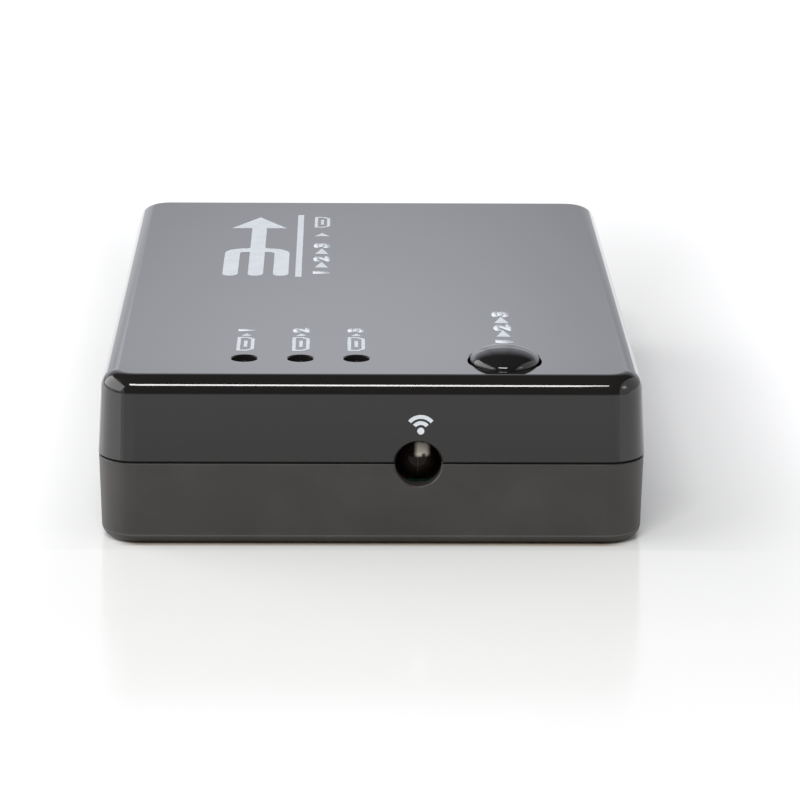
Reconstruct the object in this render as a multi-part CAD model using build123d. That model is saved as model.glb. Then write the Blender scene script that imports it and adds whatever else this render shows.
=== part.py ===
from build123d import *
import math
import os

# A switch box that joins one of three video inputs to one output.
# Two moulded half-shells meet at mid-height and clamp a circuit board between their corner
# columns. A domed push button on the roof works a small push switch on the board, three
# lamps shine through round holes beside it, and an infra-red receiver looks out of a round
# hole on the joint line of one short end.
#
# X runs across the short side, Y along the long side and Z up. The origin is at the middle
# of the flat underside. The receiver end faces -Y, the inputs face -X, the output and the
# supply jack face +X. Lengths are in millimetres and angles in degrees.

# Outside of the box, at the joint line
BOX_WIDTH = 62.0
BOX_LENGTH = 90.0
BOX_HEIGHT = 19.6
JOINT_HEIGHT = 9.7
CORNER_RADIUS = 4.5

# Walls of both half-shells
WALL = 1.5
ROOF = 1.8
FLOOR = 1.8
TOP_DRAFT = 3.2
BOTTOM_DRAFT = 1.4
TOP_EDGE_RADIUS = 2.0
BOTTOM_EDGE_RADIUS = 1.6
INNER_EDGE_BREAK = 0.6
BOTTOM_INSET = 0.08
UPPER_RIM_BREAK = 0.32
LOWER_RIM_BREAK = 0.08
HOLE_EDGE_BREAK = 0.12

# Tongue on the lower rim and its rebate in the upper rim
TONGUE_WALL = 0.7
TONGUE_HEIGHT = 1.0
TONGUE_GAP = 0.1

# Stiffening ribs under the roof and on the floor
RIB_WALL = 0.9
RIB_HEIGHT = 1.1
RIB_PITCH = 16.0
RIB_COUNT = 3
RIB_SHIFT = 12.0

# Corner columns and their screws
COLUMN_FROM_SIDE = 5.4
BOSS_DIAMETER = 5.6
STANDOFF_DIAMETER = 6.2
SCREW_CORE_DIAMETER = 1.9
SCREW_LENGTH = 9.0
SCREW_HEAD_DIAMETER = 4.3
SCREW_HEAD_HEIGHT = 1.5
SCREW_DRIVE_WIDTH = 2.2
SCREW_DRIVE_SLOT = 0.5
SCREW_DRIVE_DEPTH = 0.8
SCREW_TIP = 1.2
SCREW_POINT_SHARE = 0.3
PILOT_GAP = 0.05
PILOT_SPARE = 1.5
THREAD_ROOM = 0.35
HEAD_ROOM = 0.35
HEAD_SEAT_HEIGHT = 2.2

# One overrun serves every cut that passes through a face
CUT_OVERRUN = 1.0

# The turn of every rounded tip drawn as an arc
QUARTER_TURN = math.degrees(math.pi / 2)

# Circuit board
BOARD_THICKNESS = 1.6
BOARD_GAP = 0.35
LEAD_HOLE_GAP = 0.2
LEAD_TAIL = 1.0

# Video sockets: formed sheet shell, insulator with a tongue, contacts
SOCKET_WIDTH = 14.6
SOCKET_HEIGHT = 5.15
SOCKET_LENGTH = 12.0
SOCKET_SHEET = 0.3
SOCKET_SLOPE_RUN = 2.0
SOCKET_SLOPE_RISE = 1.9
SOCKET_CORNER_RADIUS = 0.5
SOCKET_RECESS = 0.3
SOCKET_WINDOW_GAP = 0.3
SOCKET_LEG_WIDTH = 1.2
SOCKET_LEG_FRONT = 4.0
SOCKET_LEG_SPACING = 5.5
SPRING_FROM_MOUTH = 2.2
SPRING_LENGTH = 4.6
SPRING_WIDTH = 1.6
SPRING_SPACING = 5.4
SPRING_SLOT = 0.35
SPRING_DIP = 0.3
SPRING_BEND_SHARE = 0.3
INSULATOR_GAP = 0.05
INSULATOR_BLOCK = 3.5
INSULATOR_TAIL = 1.2
INSULATOR_TAIL_WIDTH = 13.0
INSULATOR_TAIL_HEIGHT = 4.0
BLADE_WIDTH = 11.2
BLADE_THICKNESS = 1.0
BLADE_RECESS = 1.6
BLADE_LIFT = 0.3
BLADE_EDGE_SHARE = 0.25
CONTACT_WIDTH = 0.45
CONTACT_SHEET = 0.15
CONTACT_PITCH = 1.0
CONTACT_SETBACK = 0.4
UPPER_CONTACTS = 10
LOWER_CONTACTS = 9
CONTACT_FOOT_WIDTH = 0.25
CONTACT_FOOT_LENGTH = 1.0
CONTACT_FOOT_PITCH = 0.5

# Places of the sockets along Y
INPUT_COUNT = 3
INPUT_PITCH = 20.5
OUTPUT_FROM_END = 37.0

# Supply jack
JACK_FROM_END = 17.0
JACK_WIDTH = 6.0
JACK_LENGTH = 11.0
JACK_NOSE_DIAMETER = 5.0
JACK_NOSE_LENGTH = 2.2
JACK_BORE_DIAMETER = 3.6
JACK_BORE_DEPTH = 9.0
JACK_WINDOW_GAP = 0.25
JACK_PIN_DIAMETER = 1.3
JACK_PIN_SETBACK = 1.2
JACK_PIN_TIP_RADIUS = 0.5
JACK_TERMINAL_WIDTH = 1.8
JACK_TERMINAL_SHEET = 0.3

# Lamps that shine through the roof
LAMP_COUNT = 3
LAMP_FROM_SIDE = 16.47
LAMP_FROM_END = 8.95
LAMP_PITCH = 6.39
LAMP_HOLE_DIAMETER = 3.0
LAMP_DIAMETER = 2.9
LAMP_HEIGHT = 5.3
LAMP_DEPTH = 1.0
LAMP_RIM_DIAMETER = 3.8
LAMP_RIM_HEIGHT = 1.0
LAMP_LEAD_PITCH = 2.54
LAMP_LEAD_WIDTH = 0.5
LAMP_COLLAR_GAP = 0.2
LAMP_COLLAR_WALL = 0.8
LAMP_COLLAR_LENGTH = 2.4
SPACER_DIAMETER = 4.2
SPACER_BORE_GAP = 0.1

# Push button on the roof
BUTTON_FROM_SIDE = 15.88
BUTTON_FROM_END = 8.42
BUTTON_HOLE_WIDTH = 8.5
BUTTON_HOLE_LENGTH = 10.0
BUTTON_GAP = 0.3
BUTTON_DOME_HEIGHT = 1.55
BUTTON_WALL = 1.0
BUTTON_CROWN_WALL = 0.4
BUTTON_FLANGE = 0.9
BUTTON_FLANGE_THICKNESS = 0.9
BUTTON_STOP_GAP = 0.05
BUTTON_STEM_DIAMETER = 3.0
BUTTON_RIB_WALL = 0.9
BUTTON_TRAVEL = 0.4
GUIDE_GAP = 0.25
GUIDE_WALL = 1.0
GUIDE_SPARE = 0.3

# Push switch under the button
SWITCH_WIDTH = 6.0
SWITCH_BASE_HEIGHT = 3.2
SWITCH_COVER_SHEET = 0.3
SWITCH_HEIGHT = 5.0
SWITCH_CORNER_CHAMFER = 0.4
PLUNGER_DIAMETER = 3.4
PLUNGER_SHOULDER_DIAMETER = 4.2
PLUNGER_SHOULDER_HEIGHT = 0.6
PLUNGER_GAP = 0.1
PLUNGER_STOP_GAP = 0.03
PLUNGER_EDGE_CHAMFER = 0.3
STEM_GAP = 0.02
SNAP_DISC_SPARE = 0.15
SNAP_DISC_SHEET = 0.1
SNAP_DISC_GAP = 0.02
PEG_DIAMETER = 0.8
PEG_FROM_SIDE = 0.75
PEG_GAP = 0.05
SWITCH_LEG_WIDTH = 0.7
SWITCH_LEG_SHEET = 0.3
SWITCH_LEG_SPREAD = 4.5
SWITCH_LEG_HEIGHT = 1.4

# Infra-red receiver behind its hole
RECEIVER_FROM_BUTTON = 9.92
RECEIVER_HOLE_DIAMETER = 5.25
RECEIVER_HOLE_FLARE = 0.2
RECEIVER_WIDTH = 5.8
RECEIVER_DEPTH = 2.6
RECEIVER_HEIGHT = 6.6
RECEIVER_EDGE_CHAMFER = 0.35
RECEIVER_LENS_DIAMETER = 4.8
RECEIVER_LENS_NECK = 0.3
RECEIVER_LENS_DOME = 1.4
RECEIVER_LENS_GAP = 0.25
RECEIVER_LEAD_COUNT = 3
RECEIVER_LEAD_PITCH = 1.9
RECEIVER_LEAD_WIDTH = 0.5

# Chips with bent leads: body, then leads
CHIP_STANDOFF = 0.1
CHIP_EDGE_CHAMFER = 0.15
CHIP_MARK_DIAMETER = 0.8
CHIP_MARK_DEPTH = 0.1
CHIP_MARK_FROM_SIDE = 1.0
CHIP_LEAD_SHEET = 0.15
CHIP_LEAD_SHOULDER = 0.4
CHIP_LEAD_REACH = 1.0
SWITCH_CHIP_FROM_RESISTORS = 5.2
SWITCH_CHIP_Y = 2.0
SWITCH_CHIP_WIDTH = 10.0
SWITCH_CHIP_HEIGHT = 1.4
SWITCH_CHIP_LEAD_COUNT = 16
SWITCH_CHIP_LEAD_PITCH = 0.5
SWITCH_CHIP_LEAD_WIDTH = 0.22
CONTROLLER_FROM_END = 22.5
CONTROLLER_WIDTH = 9.9
CONTROLLER_DEPTH = 3.9
CONTROLLER_HEIGHT = 1.5
CONTROLLER_LEAD_COUNT = 7
CONTROLLER_LEAD_PITCH = 1.27
CONTROLLER_LEAD_WIDTH = 0.42
REGULATOR_FROM_JACK = 8.0
REGULATOR_WIDTH = 6.5
REGULATOR_DEPTH = 3.5
REGULATOR_HEIGHT = 1.6
REGULATOR_LEAD_COUNT = 3
REGULATOR_LEAD_PITCH = 2.3
REGULATOR_LEAD_WIDTH = 0.7
REGULATOR_TAB_WIDTH = 3.0

# Crystal in its pressed can
CRYSTAL_FROM_RESISTORS = 3.6
CRYSTAL_FROM_CONTROLLER = 0.7
CRYSTAL_LENGTH = 10.4
CRYSTAL_WIDTH = 4.0
CRYSTAL_HEIGHT = 3.4
CRYSTAL_RIM = 0.4
CRYSTAL_EDGE_CHAMFER = 0.3

# Electrolytic capacitors
CAPACITOR_COUNT = 2
CAPACITOR_FROM_REGULATOR = 0.6
CAPACITOR_FROM_END = 13.0
CAPACITOR_PITCH = 7.0
CAPACITOR_DIAMETER = 5.0
CAPACITOR_HEIGHT = 4.8
CAPACITOR_EDGE_CHAMFER = 0.3
CAPACITOR_BASE_WIDTH = 5.3
CAPACITOR_BASE_HEIGHT = 0.6
CAPACITOR_BASE_CHAMFER = 1.1

# Chip resistors and chip capacitors in rows
CHIP_PART_LENGTH = 1.6
CHIP_PART_WIDTH = 0.8
CHIP_RESISTOR_HEIGHT = 0.45
CHIP_CAPACITOR_HEIGHT = 0.8
CHIP_ROW_COUNT = 4
CHIP_ROW_PITCH = 2.4
CHIP_ROW_GAP = 1.5

# Levels and places that follow from the sizes above
PORT_RISE = SOCKET_HEIGHT / 2
BOARD_TOP = JOINT_HEIGHT - PORT_RISE
BOARD_BOTTOM = BOARD_TOP - BOARD_THICKNESS
ROOF_UNDERSIDE = BOX_HEIGHT - ROOF
LEAD_END = BOARD_BOTTOM - LEAD_TAIL
RECEIVER_END = -BOX_LENGTH / 2
FAR_END = BOX_LENGTH / 2
LOWER_WIDTH = BOX_WIDTH - 2 * BOTTOM_INSET
LOWER_LENGTH = BOX_LENGTH - 2 * BOTTOM_INSET
LOWER_CORNER = CORNER_RADIUS - BOTTOM_INSET
BOARD_MARGIN = BOTTOM_INSET + WALL + BOARD_GAP
BOARD_CORNER = CORNER_RADIUS - BOARD_MARGIN
COLUMN_X = BOX_WIDTH / 2 - COLUMN_FROM_SIDE
COLUMN_Y = BOX_LENGTH / 2 - COLUMN_FROM_SIDE
PORT_FACE = BOX_WIDTH / 2 - SOCKET_RECESS
OUTPUT_Y = FAR_END - OUTPUT_FROM_END
JACK_Y = FAR_END - JACK_FROM_END
LAMP_X = -BOX_WIDTH / 2 + LAMP_FROM_SIDE
LAMP_Y = RECEIVER_END + LAMP_FROM_END
LAMP_BASE = BOX_HEIGHT - LAMP_DEPTH - LAMP_HEIGHT
BUTTON_X = BOX_WIDTH / 2 - BUTTON_FROM_SIDE
RECEIVER_X = BUTTON_X - RECEIVER_FROM_BUTTON
BUTTON_Y = RECEIVER_END + BUTTON_FROM_END
BUTTON_RADIUS = BUTTON_HOLE_WIDTH / 2 - BUTTON_GAP
BUTTON_STRETCH = (BUTTON_HOLE_LENGTH / 2 - BUTTON_GAP) / BUTTON_RADIUS
BUTTON_FLANGE_TOP = ROOF_UNDERSIDE - BUTTON_STOP_GAP
SWITCH_BASE_TOP = BOARD_TOP + SWITCH_BASE_HEIGHT
SWITCH_TOP = BOARD_TOP + SWITCH_HEIGHT
SHOULDER_TOP = SWITCH_BASE_TOP - PLUNGER_STOP_GAP
SHOULDER_BOTTOM = SHOULDER_TOP - PLUNGER_SHOULDER_HEIGHT
SNAP_DISC_RISE = BUTTON_TRAVEL + SNAP_DISC_SPARE
WELL_FLOOR = SHOULDER_BOTTOM - SNAP_DISC_GAP - SNAP_DISC_RISE
WELL_RADIUS = PLUNGER_SHOULDER_DIAMETER / 2 + PLUNGER_GAP
LENS_TIP_Y = RECEIVER_END + WALL + RECEIVER_LENS_GAP
RECEIVER_FRONT = LENS_TIP_Y + RECEIVER_LENS_DOME + RECEIVER_LENS_NECK
RESISTOR_X = -PORT_FACE + SOCKET_LENGTH + INSULATOR_TAIL + CONTACT_FOOT_LENGTH + CHIP_ROW_GAP
RESISTOR_EDGE = RESISTOR_X + CHIP_PART_LENGTH / 2
SWITCH_CHIP_X = RESISTOR_EDGE + SWITCH_CHIP_FROM_RESISTORS + CHIP_LEAD_REACH + SWITCH_CHIP_WIDTH / 2
CONTROLLER_X = RECEIVER_X
CONTROLLER_Y = RECEIVER_END + CONTROLLER_FROM_END
CONTROLLER_EDGE = CONTROLLER_Y + CONTROLLER_DEPTH / 2 + CHIP_LEAD_REACH
CRYSTAL_X = RESISTOR_EDGE + CRYSTAL_FROM_RESISTORS + CRYSTAL_RIM + CRYSTAL_LENGTH / 2
CRYSTAL_Y = CONTROLLER_EDGE + CRYSTAL_FROM_CONTROLLER + CRYSTAL_RIM + CRYSTAL_WIDTH / 2
JACK_BACK = PORT_FACE - JACK_LENGTH - JACK_TERMINAL_SHEET
REGULATOR_X = JACK_BACK - REGULATOR_FROM_JACK - REGULATOR_WIDTH / 2
REGULATOR_Y = JACK_Y
CAPACITOR_EDGE = REGULATOR_X - REGULATOR_WIDTH / 2 - CAPACITOR_FROM_REGULATOR
CAPACITOR_X = CAPACITOR_EDGE - (CAPACITOR_BASE_WIDTH + (CAPACITOR_COUNT - 1) * CAPACITOR_PITCH) / 2
CAPACITOR_Y = FAR_END - CAPACITOR_FROM_END


def around(middle, width):
    """The low and high end of a width laid about its middle."""
    return middle - width / 2, middle + width / 2


def block(x_span, y_span, z_span):
    """A straight block between the low and high ends of three spans."""
    spans = (x_span, y_span, z_span)
    sizes = [high - low for low, high in spans]
    middles = [(low + high) / 2 for low, high in spans]
    return Pos(*middles) * Box(*sizes)


def rod(x, y, diameter, low, high):
    """An upright round rod between two heights."""
    return Pos(x, y, (low + high) / 2) * Cylinder(diameter / 2, high - low)


def turned(outline):
    """A turned solid about Z, from a closed half outline of radius and height."""
    return revolve(Plane.XZ * make_face(outline), Axis.Z)


def steps(count, pitch):
    """Places of a centred row of copies at a pitch."""
    first = -(count - 1) * pitch / 2
    return [first + index * pitch for index in range(count)]


def grouped(solids):
    """Several loose solids as one node."""
    return Compound([solid for piece in solids for solid in piece.solids()])


def drafted(width, length, corner, low, high, draft):
    """A rounded rectangle drawn up from low to high, its sides leaning in by the draft."""
    outline = RectangleRounded(width, length, corner)
    return Pos(0, 0, low) * extrude(outline, amount=high - low, taper=draft)


def widening(width, length, corner, low, high, draft):
    """A rounded rectangle that grows from low and has the given size at high."""
    lean = (high - low) * math.tan(math.radians(draft))
    return drafted(width - 2 * lean, length - 2 * lean, corner - lean, low, high, -draft)


def column_places():
    """Centres of the four corner columns."""
    return [(x, y) for x in (-COLUMN_X, COLUMN_X) for y in (-COLUMN_Y, COLUMN_Y)]


def lamp_places():
    """Centres of the lamps, from the one nearest the inputs."""
    return [(LAMP_X + index * LAMP_PITCH, LAMP_Y) for index in range(LAMP_COUNT)]


def input_places():
    """Places of the input sockets along Y."""
    return steps(INPUT_COUNT, INPUT_PITCH)


def on_input_side(piece, y):
    """Carries a socket from its own frame to a place on the -X wall."""
    return Pos(-PORT_FACE, y, BOARD_TOP) * piece


def on_output_side(piece, y):
    """Carries a socket or jack from its own frame to a place on the +X wall."""
    return Pos(PORT_FACE, y, BOARD_TOP) * Rot(0, 0, 180) * piece


def button_oval(extra, low, high):
    """An upright oval prism, wider than the button's hole by extra on every side."""
    oval = Ellipse(BUTTON_HOLE_WIDTH / 2 + extra, BUTTON_HOLE_LENGTH / 2 + extra)
    return Pos(BUTTON_X, BUTTON_Y, low) * extrude(oval, amount=high - low)


def socket_window():
    """The cutter for one video socket's window, in the socket's own frame."""
    outline = RectangleRounded(SOCKET_WIDTH + 2 * SOCKET_WINDOW_GAP,
                               SOCKET_HEIGHT + 2 * SOCKET_WINDOW_GAP, SOCKET_CORNER_RADIUS)
    depth = SOCKET_RECESS + WALL + BOTTOM_INSET + 2 * CUT_OVERRUN
    cutter = extrude(Plane.YZ * outline, amount=depth)
    return Pos(-SOCKET_RECESS - CUT_OVERRUN, 0, PORT_RISE) * cutter


def jack_window():
    """The cutter for the supply jack's round window, in the jack's own frame."""
    depth = SOCKET_RECESS + WALL + BOTTOM_INSET + 2 * CUT_OVERRUN
    cutter = extrude(Plane.YZ * Circle(JACK_NOSE_DIAMETER / 2 + JACK_WINDOW_GAP), amount=depth)
    return Pos(-SOCKET_RECESS - CUT_OVERRUN, 0, PORT_RISE) * cutter


def receiver_window():
    """The flared round cutter for the hole in front of the receiver, half in each shell."""
    radius = RECEIVER_HOLE_DIAMETER / 2
    flare = radius + RECEIVER_HOLE_FLARE
    inner = WALL + BOTTOM_INSET + CUT_OVERRUN
    outline = Polyline((0, -CUT_OVERRUN), (flare, -CUT_OVERRUN), (flare, BOTTOM_INSET),
                       (radius, BOTTOM_INSET + RECEIVER_HOLE_FLARE), (radius, inner), (0, inner),
                       close=True)
    return Pos(RECEIVER_X, RECEIVER_END, JOINT_HEIGHT) * Rot(-90, 0, 0) * turned(outline)


def wall_windows():
    """Every cutter that passes through a side wall of both half-shells."""
    windows = [on_input_side(socket_window(), y) for y in input_places()]
    windows.append(on_output_side(socket_window(), OUTPUT_Y))
    windows.append(on_output_side(jack_window(), JACK_Y))
    windows.append(receiver_window())
    return windows


def stiffening_ribs(width, low, high):
    """A few low ribs across the box, from wall to wall."""
    return [block(around(0, width), around(RIB_SHIFT + y, RIB_WALL), (low, high))
            for y in steps(RIB_COUNT, RIB_PITCH)]


def top_shell():
    """Upper half-shell: drafted walls, rounded roof, bosses, lamp collars, button guide."""
    shell = drafted(BOX_WIDTH, BOX_LENGTH, CORNER_RADIUS, JOINT_HEIGHT, BOX_HEIGHT, TOP_DRAFT)
    shell = fillet(shell.edges().group_by(Axis.Z)[-1], TOP_EDGE_RADIUS)
    shell = chamfer(shell.edges().group_by(Axis.Z)[0], UPPER_RIM_BREAK)
    cavity = drafted(BOX_WIDTH - 2 * WALL, BOX_LENGTH - 2 * WALL, CORNER_RADIUS - WALL,
                     JOINT_HEIGHT, ROOF_UNDERSIDE, TOP_DRAFT)
    cavity = chamfer(cavity.edges().group_by(Axis.Z)[-1], INNER_EDGE_BREAK)
    rebate_gap = BOTTOM_INSET + WALL - TONGUE_WALL - TONGUE_GAP
    rebate = drafted(BOX_WIDTH - 2 * rebate_gap, BOX_LENGTH - 2 * rebate_gap,
                     CORNER_RADIUS - rebate_gap, JOINT_HEIGHT,
                     JOINT_HEIGHT + TONGUE_HEIGHT + TONGUE_GAP, 0)
    shell = shell - cavity - rebate

    inside = [rod(x, y, BOSS_DIAMETER, BOARD_TOP, ROOF_UNDERSIDE) for x, y in column_places()]
    collar = LAMP_DIAMETER + 2 * (LAMP_COLLAR_GAP + LAMP_COLLAR_WALL)
    collar_end = ROOF_UNDERSIDE - LAMP_COLLAR_LENGTH
    inside += [rod(x, y, collar, collar_end, ROOF_UNDERSIDE) for x, y in lamp_places()]
    guide_bore = BUTTON_FLANGE * BUTTON_STRETCH - BUTTON_GAP + GUIDE_GAP
    guide_end = BUTTON_FLANGE_TOP - BUTTON_FLANGE_THICKNESS - BUTTON_TRAVEL - GUIDE_SPARE
    inside.append(button_oval(guide_bore + GUIDE_WALL, guide_end, ROOF_UNDERSIDE))
    inner_width = BOX_WIDTH - 2 * WALL
    inside += stiffening_ribs(inner_width, ROOF_UNDERSIDE - RIB_HEIGHT, ROOF_UNDERSIDE)
    shell = shell + inside

    cuts = wall_windows()
    cuts.append(button_oval(0, guide_end - CUT_OVERRUN, BOX_HEIGHT + CUT_OVERRUN))
    cuts.append(button_oval(guide_bore, guide_end - CUT_OVERRUN, ROOF_UNDERSIDE))
    pilot_end = HEAD_SEAT_HEIGHT + SCREW_LENGTH + PILOT_SPARE
    pilot = SCREW_CORE_DIAMETER + 2 * PILOT_GAP
    cuts += [rod(x, y, pilot, BOARD_BOTTOM, pilot_end) for x, y in column_places()]
    lamp_bore = LAMP_DIAMETER + 2 * LAMP_COLLAR_GAP
    cuts += [rod(x, y, LAMP_HOLE_DIAMETER, ROOF_UNDERSIDE, BOX_HEIGHT + CUT_OVERRUN)
             for x, y in lamp_places()]
    cuts += [rod(x, y, lamp_bore, collar_end, ROOF_UNDERSIDE) for x, y in lamp_places()]
    shell = shell - cuts
    rims = [edge for edge in shell.edges().group_by(Axis.Z)[-1] if edge.is_closed]
    return chamfer(rims, HOLE_EDGE_BREAK)


def bottom_shell():
    """Lower half-shell: rounded floor, tongue on the rim, standoffs with screw recesses."""
    shell = widening(LOWER_WIDTH, LOWER_LENGTH, LOWER_CORNER, 0, JOINT_HEIGHT, BOTTOM_DRAFT)
    shell = fillet(shell.edges().group_by(Axis.Z)[0], BOTTOM_EDGE_RADIUS)
    shell = chamfer(shell.edges().group_by(Axis.Z)[-1], LOWER_RIM_BREAK)
    inner_width = LOWER_WIDTH - 2 * WALL
    inner_length = LOWER_LENGTH - 2 * WALL
    inner_corner = LOWER_CORNER - WALL
    rim = JOINT_HEIGHT + TONGUE_HEIGHT
    tongue = drafted(inner_width + 2 * TONGUE_WALL, inner_length + 2 * TONGUE_WALL,
                     inner_corner + TONGUE_WALL, JOINT_HEIGHT, rim, 0)
    cavity = widening(inner_width, inner_length, inner_corner, FLOOR, JOINT_HEIGHT, BOTTOM_DRAFT)
    mouth = drafted(inner_width, inner_length, inner_corner, JOINT_HEIGHT, rim + CUT_OVERRUN, 0)
    shell = shell + tongue - cavity - mouth

    inside = [rod(x, y, STANDOFF_DIAMETER, FLOOR, BOARD_BOTTOM) for x, y in column_places()]
    inside += stiffening_ribs(inner_width, FLOOR, FLOOR + RIB_HEIGHT)
    shell = shell + inside

    cuts = wall_windows()
    thread_hole = SCREW_CORE_DIAMETER + 2 * THREAD_ROOM
    head_hole = SCREW_HEAD_DIAMETER + 2 * HEAD_ROOM
    cuts += [rod(x, y, thread_hole, 0, BOARD_TOP) for x, y in column_places()]
    cuts += [rod(x, y, head_hole, -CUT_OVERRUN, HEAD_SEAT_HEIGHT) for x, y in column_places()]
    return shell - cuts


def lead_slots(piece):
    """Cutters for the holes that the upright leads or legs of a piece need in the board."""
    slots = []
    for solid in piece.solids():
        size = solid.bounding_box()
        if size.min.Z < BOARD_BOTTOM:
            foot = solid & block((size.min.X, size.max.X), (size.min.Y, size.max.Y),
                                 (BOARD_BOTTOM, BOARD_TOP))
            slots += [lead_slot(part.bounding_box()) for part in foot.solids()]
    return slots


def lead_slot(size):
    """One hole through the board, a little larger all round than the lead in it."""
    return block((size.min.X - LEAD_HOLE_GAP, size.max.X + LEAD_HOLE_GAP),
                 (size.min.Y - LEAD_HOLE_GAP, size.max.Y + LEAD_HOLE_GAP),
                 (BOARD_BOTTOM - CUT_OVERRUN, BOARD_TOP + CUT_OVERRUN))


def circuit_board(leaded):
    """The board, with a hole for each column's screw and for each lead of the leaded pieces."""
    board = drafted(BOX_WIDTH - 2 * BOARD_MARGIN, BOX_LENGTH - 2 * BOARD_MARGIN,
                    BOARD_CORNER, BOARD_BOTTOM, BOARD_TOP, 0)
    thread_hole = SCREW_CORE_DIAMETER + 2 * THREAD_ROOM
    cuts = [rod(x, y, thread_hole, BOARD_BOTTOM, BOARD_TOP) for x, y in column_places()]
    for piece in leaded:
        cuts += lead_slots(piece)
    return board - cuts


def case_screw():
    """One pan-head screw with a cross recess and a pointed tip, its head's seat at height 0."""
    core = SCREW_CORE_DIAMETER / 2
    head = SCREW_HEAD_DIAMETER / 2
    crown = head - SCREW_HEAD_HEIGHT / 2
    outline = Polyline((0, -SCREW_HEAD_HEIGHT), (crown, -SCREW_HEAD_HEIGHT),
                       (head, -SCREW_HEAD_HEIGHT / 2), (head, 0), (core, 0),
                       (core, SCREW_LENGTH - SCREW_TIP), (core * SCREW_POINT_SHARE, SCREW_LENGTH),
                       (0, SCREW_LENGTH), close=True)
    recess = (-SCREW_HEAD_HEIGHT - CUT_OVERRUN, -SCREW_HEAD_HEIGHT + SCREW_DRIVE_DEPTH)
    wide = around(0, SCREW_DRIVE_WIDTH)
    narrow = around(0, SCREW_DRIVE_SLOT)
    return turned(outline) - block(wide, narrow, recess) - block(narrow, wide, recess)


def case_screws():
    """The four screws that close the box from below."""
    screw = case_screw()
    return grouped(Pos(x, y, HEAD_SEAT_HEIGHT) * screw for x, y in column_places())


def socket_outline():
    """The D-shaped outline of a video socket: wide at the top, sloped at the lower corners."""
    half = SOCKET_WIDTH / 2
    foot = half - SOCKET_SLOPE_RUN
    outline = make_face(Polyline((-half, SOCKET_HEIGHT), (-half, SOCKET_SLOPE_RISE), (-foot, 0),
                                 (foot, 0), (half, SOCKET_SLOPE_RISE), (half, SOCKET_HEIGHT),
                                 close=True))
    return fillet(outline.vertices(), SOCKET_CORNER_RADIUS)


def on_both_faces(piece):
    """A piece made for the upper face of a socket's shell, there and mirrored to the lower."""
    mirrored = mirror(piece, about=Plane.XY.offset(SOCKET_HEIGHT / 2))
    return [Pos(0, y, 0) * copy for copy in (piece, mirrored) for y in steps(2, SPRING_SPACING)]


def spring_slots():
    """Cutters for the four slots that free the springs from the shell's upper and lower face."""
    run = (SPRING_FROM_MOUTH, SPRING_FROM_MOUTH + SPRING_LENGTH)
    width = SPRING_WIDTH + 2 * SPRING_SLOT
    return on_both_faces(block(run, around(0, width), (SOCKET_HEIGHT - SOCKET_SHEET, SOCKET_HEIGHT)))


def springs():
    """The four springs that grip the plug: strips bent inwards, each held at its back end."""
    back = SPRING_FROM_MOUTH + SPRING_LENGTH
    tip = SPRING_FROM_MOUTH + SPRING_SLOT
    bend = tip + (back - tip) * SPRING_BEND_SHARE
    upper, lower = SOCKET_HEIGHT, SOCKET_HEIGHT - SOCKET_SHEET
    outline = Polyline((back, upper), (bend, upper - SPRING_DIP), (tip, upper), (tip, lower),
                       (bend, lower - SPRING_DIP), (back, lower), close=True)
    strip = extrude(Plane.XZ * make_face(outline), amount=SPRING_WIDTH / 2, both=True)
    return on_both_faces(strip)


def socket_shell():
    """Formed steel shell of a video socket with springs and four board legs, mouth at X 0."""
    outline = socket_outline()
    tube = extrude(Plane.YZ * (outline - offset(outline, -SOCKET_SHEET)), amount=SOCKET_LENGTH)
    tube = tube - spring_slots() + springs()
    legs = []
    for side in (-1, 1):
        outer = side * SOCKET_WIDTH / 2
        span = sorted((outer, outer - side * SOCKET_SHEET))
        for start in (SOCKET_LEG_FRONT, SOCKET_LEG_FRONT + SOCKET_LEG_SPACING):
            legs.append(block((start, start + SOCKET_LEG_WIDTH), span,
                              (-BOARD_THICKNESS - LEAD_TAIL, PORT_RISE)))
    return tube + legs


def blade_span():
    """Low and high face of the contact blade above the board."""
    return around(PORT_RISE + BLADE_LIFT, BLADE_THICKNESS)


def socket_insulator():
    """Moulded insulator: a block that fills the shell's back, the contact blade, a tail."""
    block_start = SOCKET_LENGTH - INSULATOR_BLOCK
    inner = offset(socket_outline(), -SOCKET_SHEET - INSULATOR_GAP)
    body = Pos(block_start, 0, 0) * extrude(Plane.YZ * inner, amount=INSULATOR_BLOCK)
    blade = block((BLADE_RECESS, block_start), around(0, BLADE_WIDTH), blade_span())
    blade = chamfer(blade.edges().group_by(Axis.X)[0], BLADE_THICKNESS * BLADE_EDGE_SHARE)
    tail = block((SOCKET_LENGTH, SOCKET_LENGTH + INSULATOR_TAIL),
                 around(0, INSULATOR_TAIL_WIDTH), (0, INSULATOR_TAIL_HEIGHT))
    return body + blade + tail


def socket_contacts():
    """Contact strips on both faces of the blade, and their feet on the board."""
    low, high = blade_span()
    run = (BLADE_RECESS + CONTACT_SETBACK, SOCKET_LENGTH - INSULATOR_BLOCK)
    back = SOCKET_LENGTH + INSULATOR_TAIL
    strips = [block(run, around(y, CONTACT_WIDTH), (high, high + CONTACT_SHEET))
              for y in steps(UPPER_CONTACTS, CONTACT_PITCH)]
    strips += [block(run, around(y, CONTACT_WIDTH), (low - CONTACT_SHEET, low))
               for y in steps(LOWER_CONTACTS, CONTACT_PITCH)]
    strips += [block((back, back + CONTACT_FOOT_LENGTH), around(y, CONTACT_FOOT_WIDTH),
                     (0, CONTACT_SHEET))
               for y in steps(UPPER_CONTACTS + LOWER_CONTACTS, CONTACT_FOOT_PITCH)]
    return grouped(strips)


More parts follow.
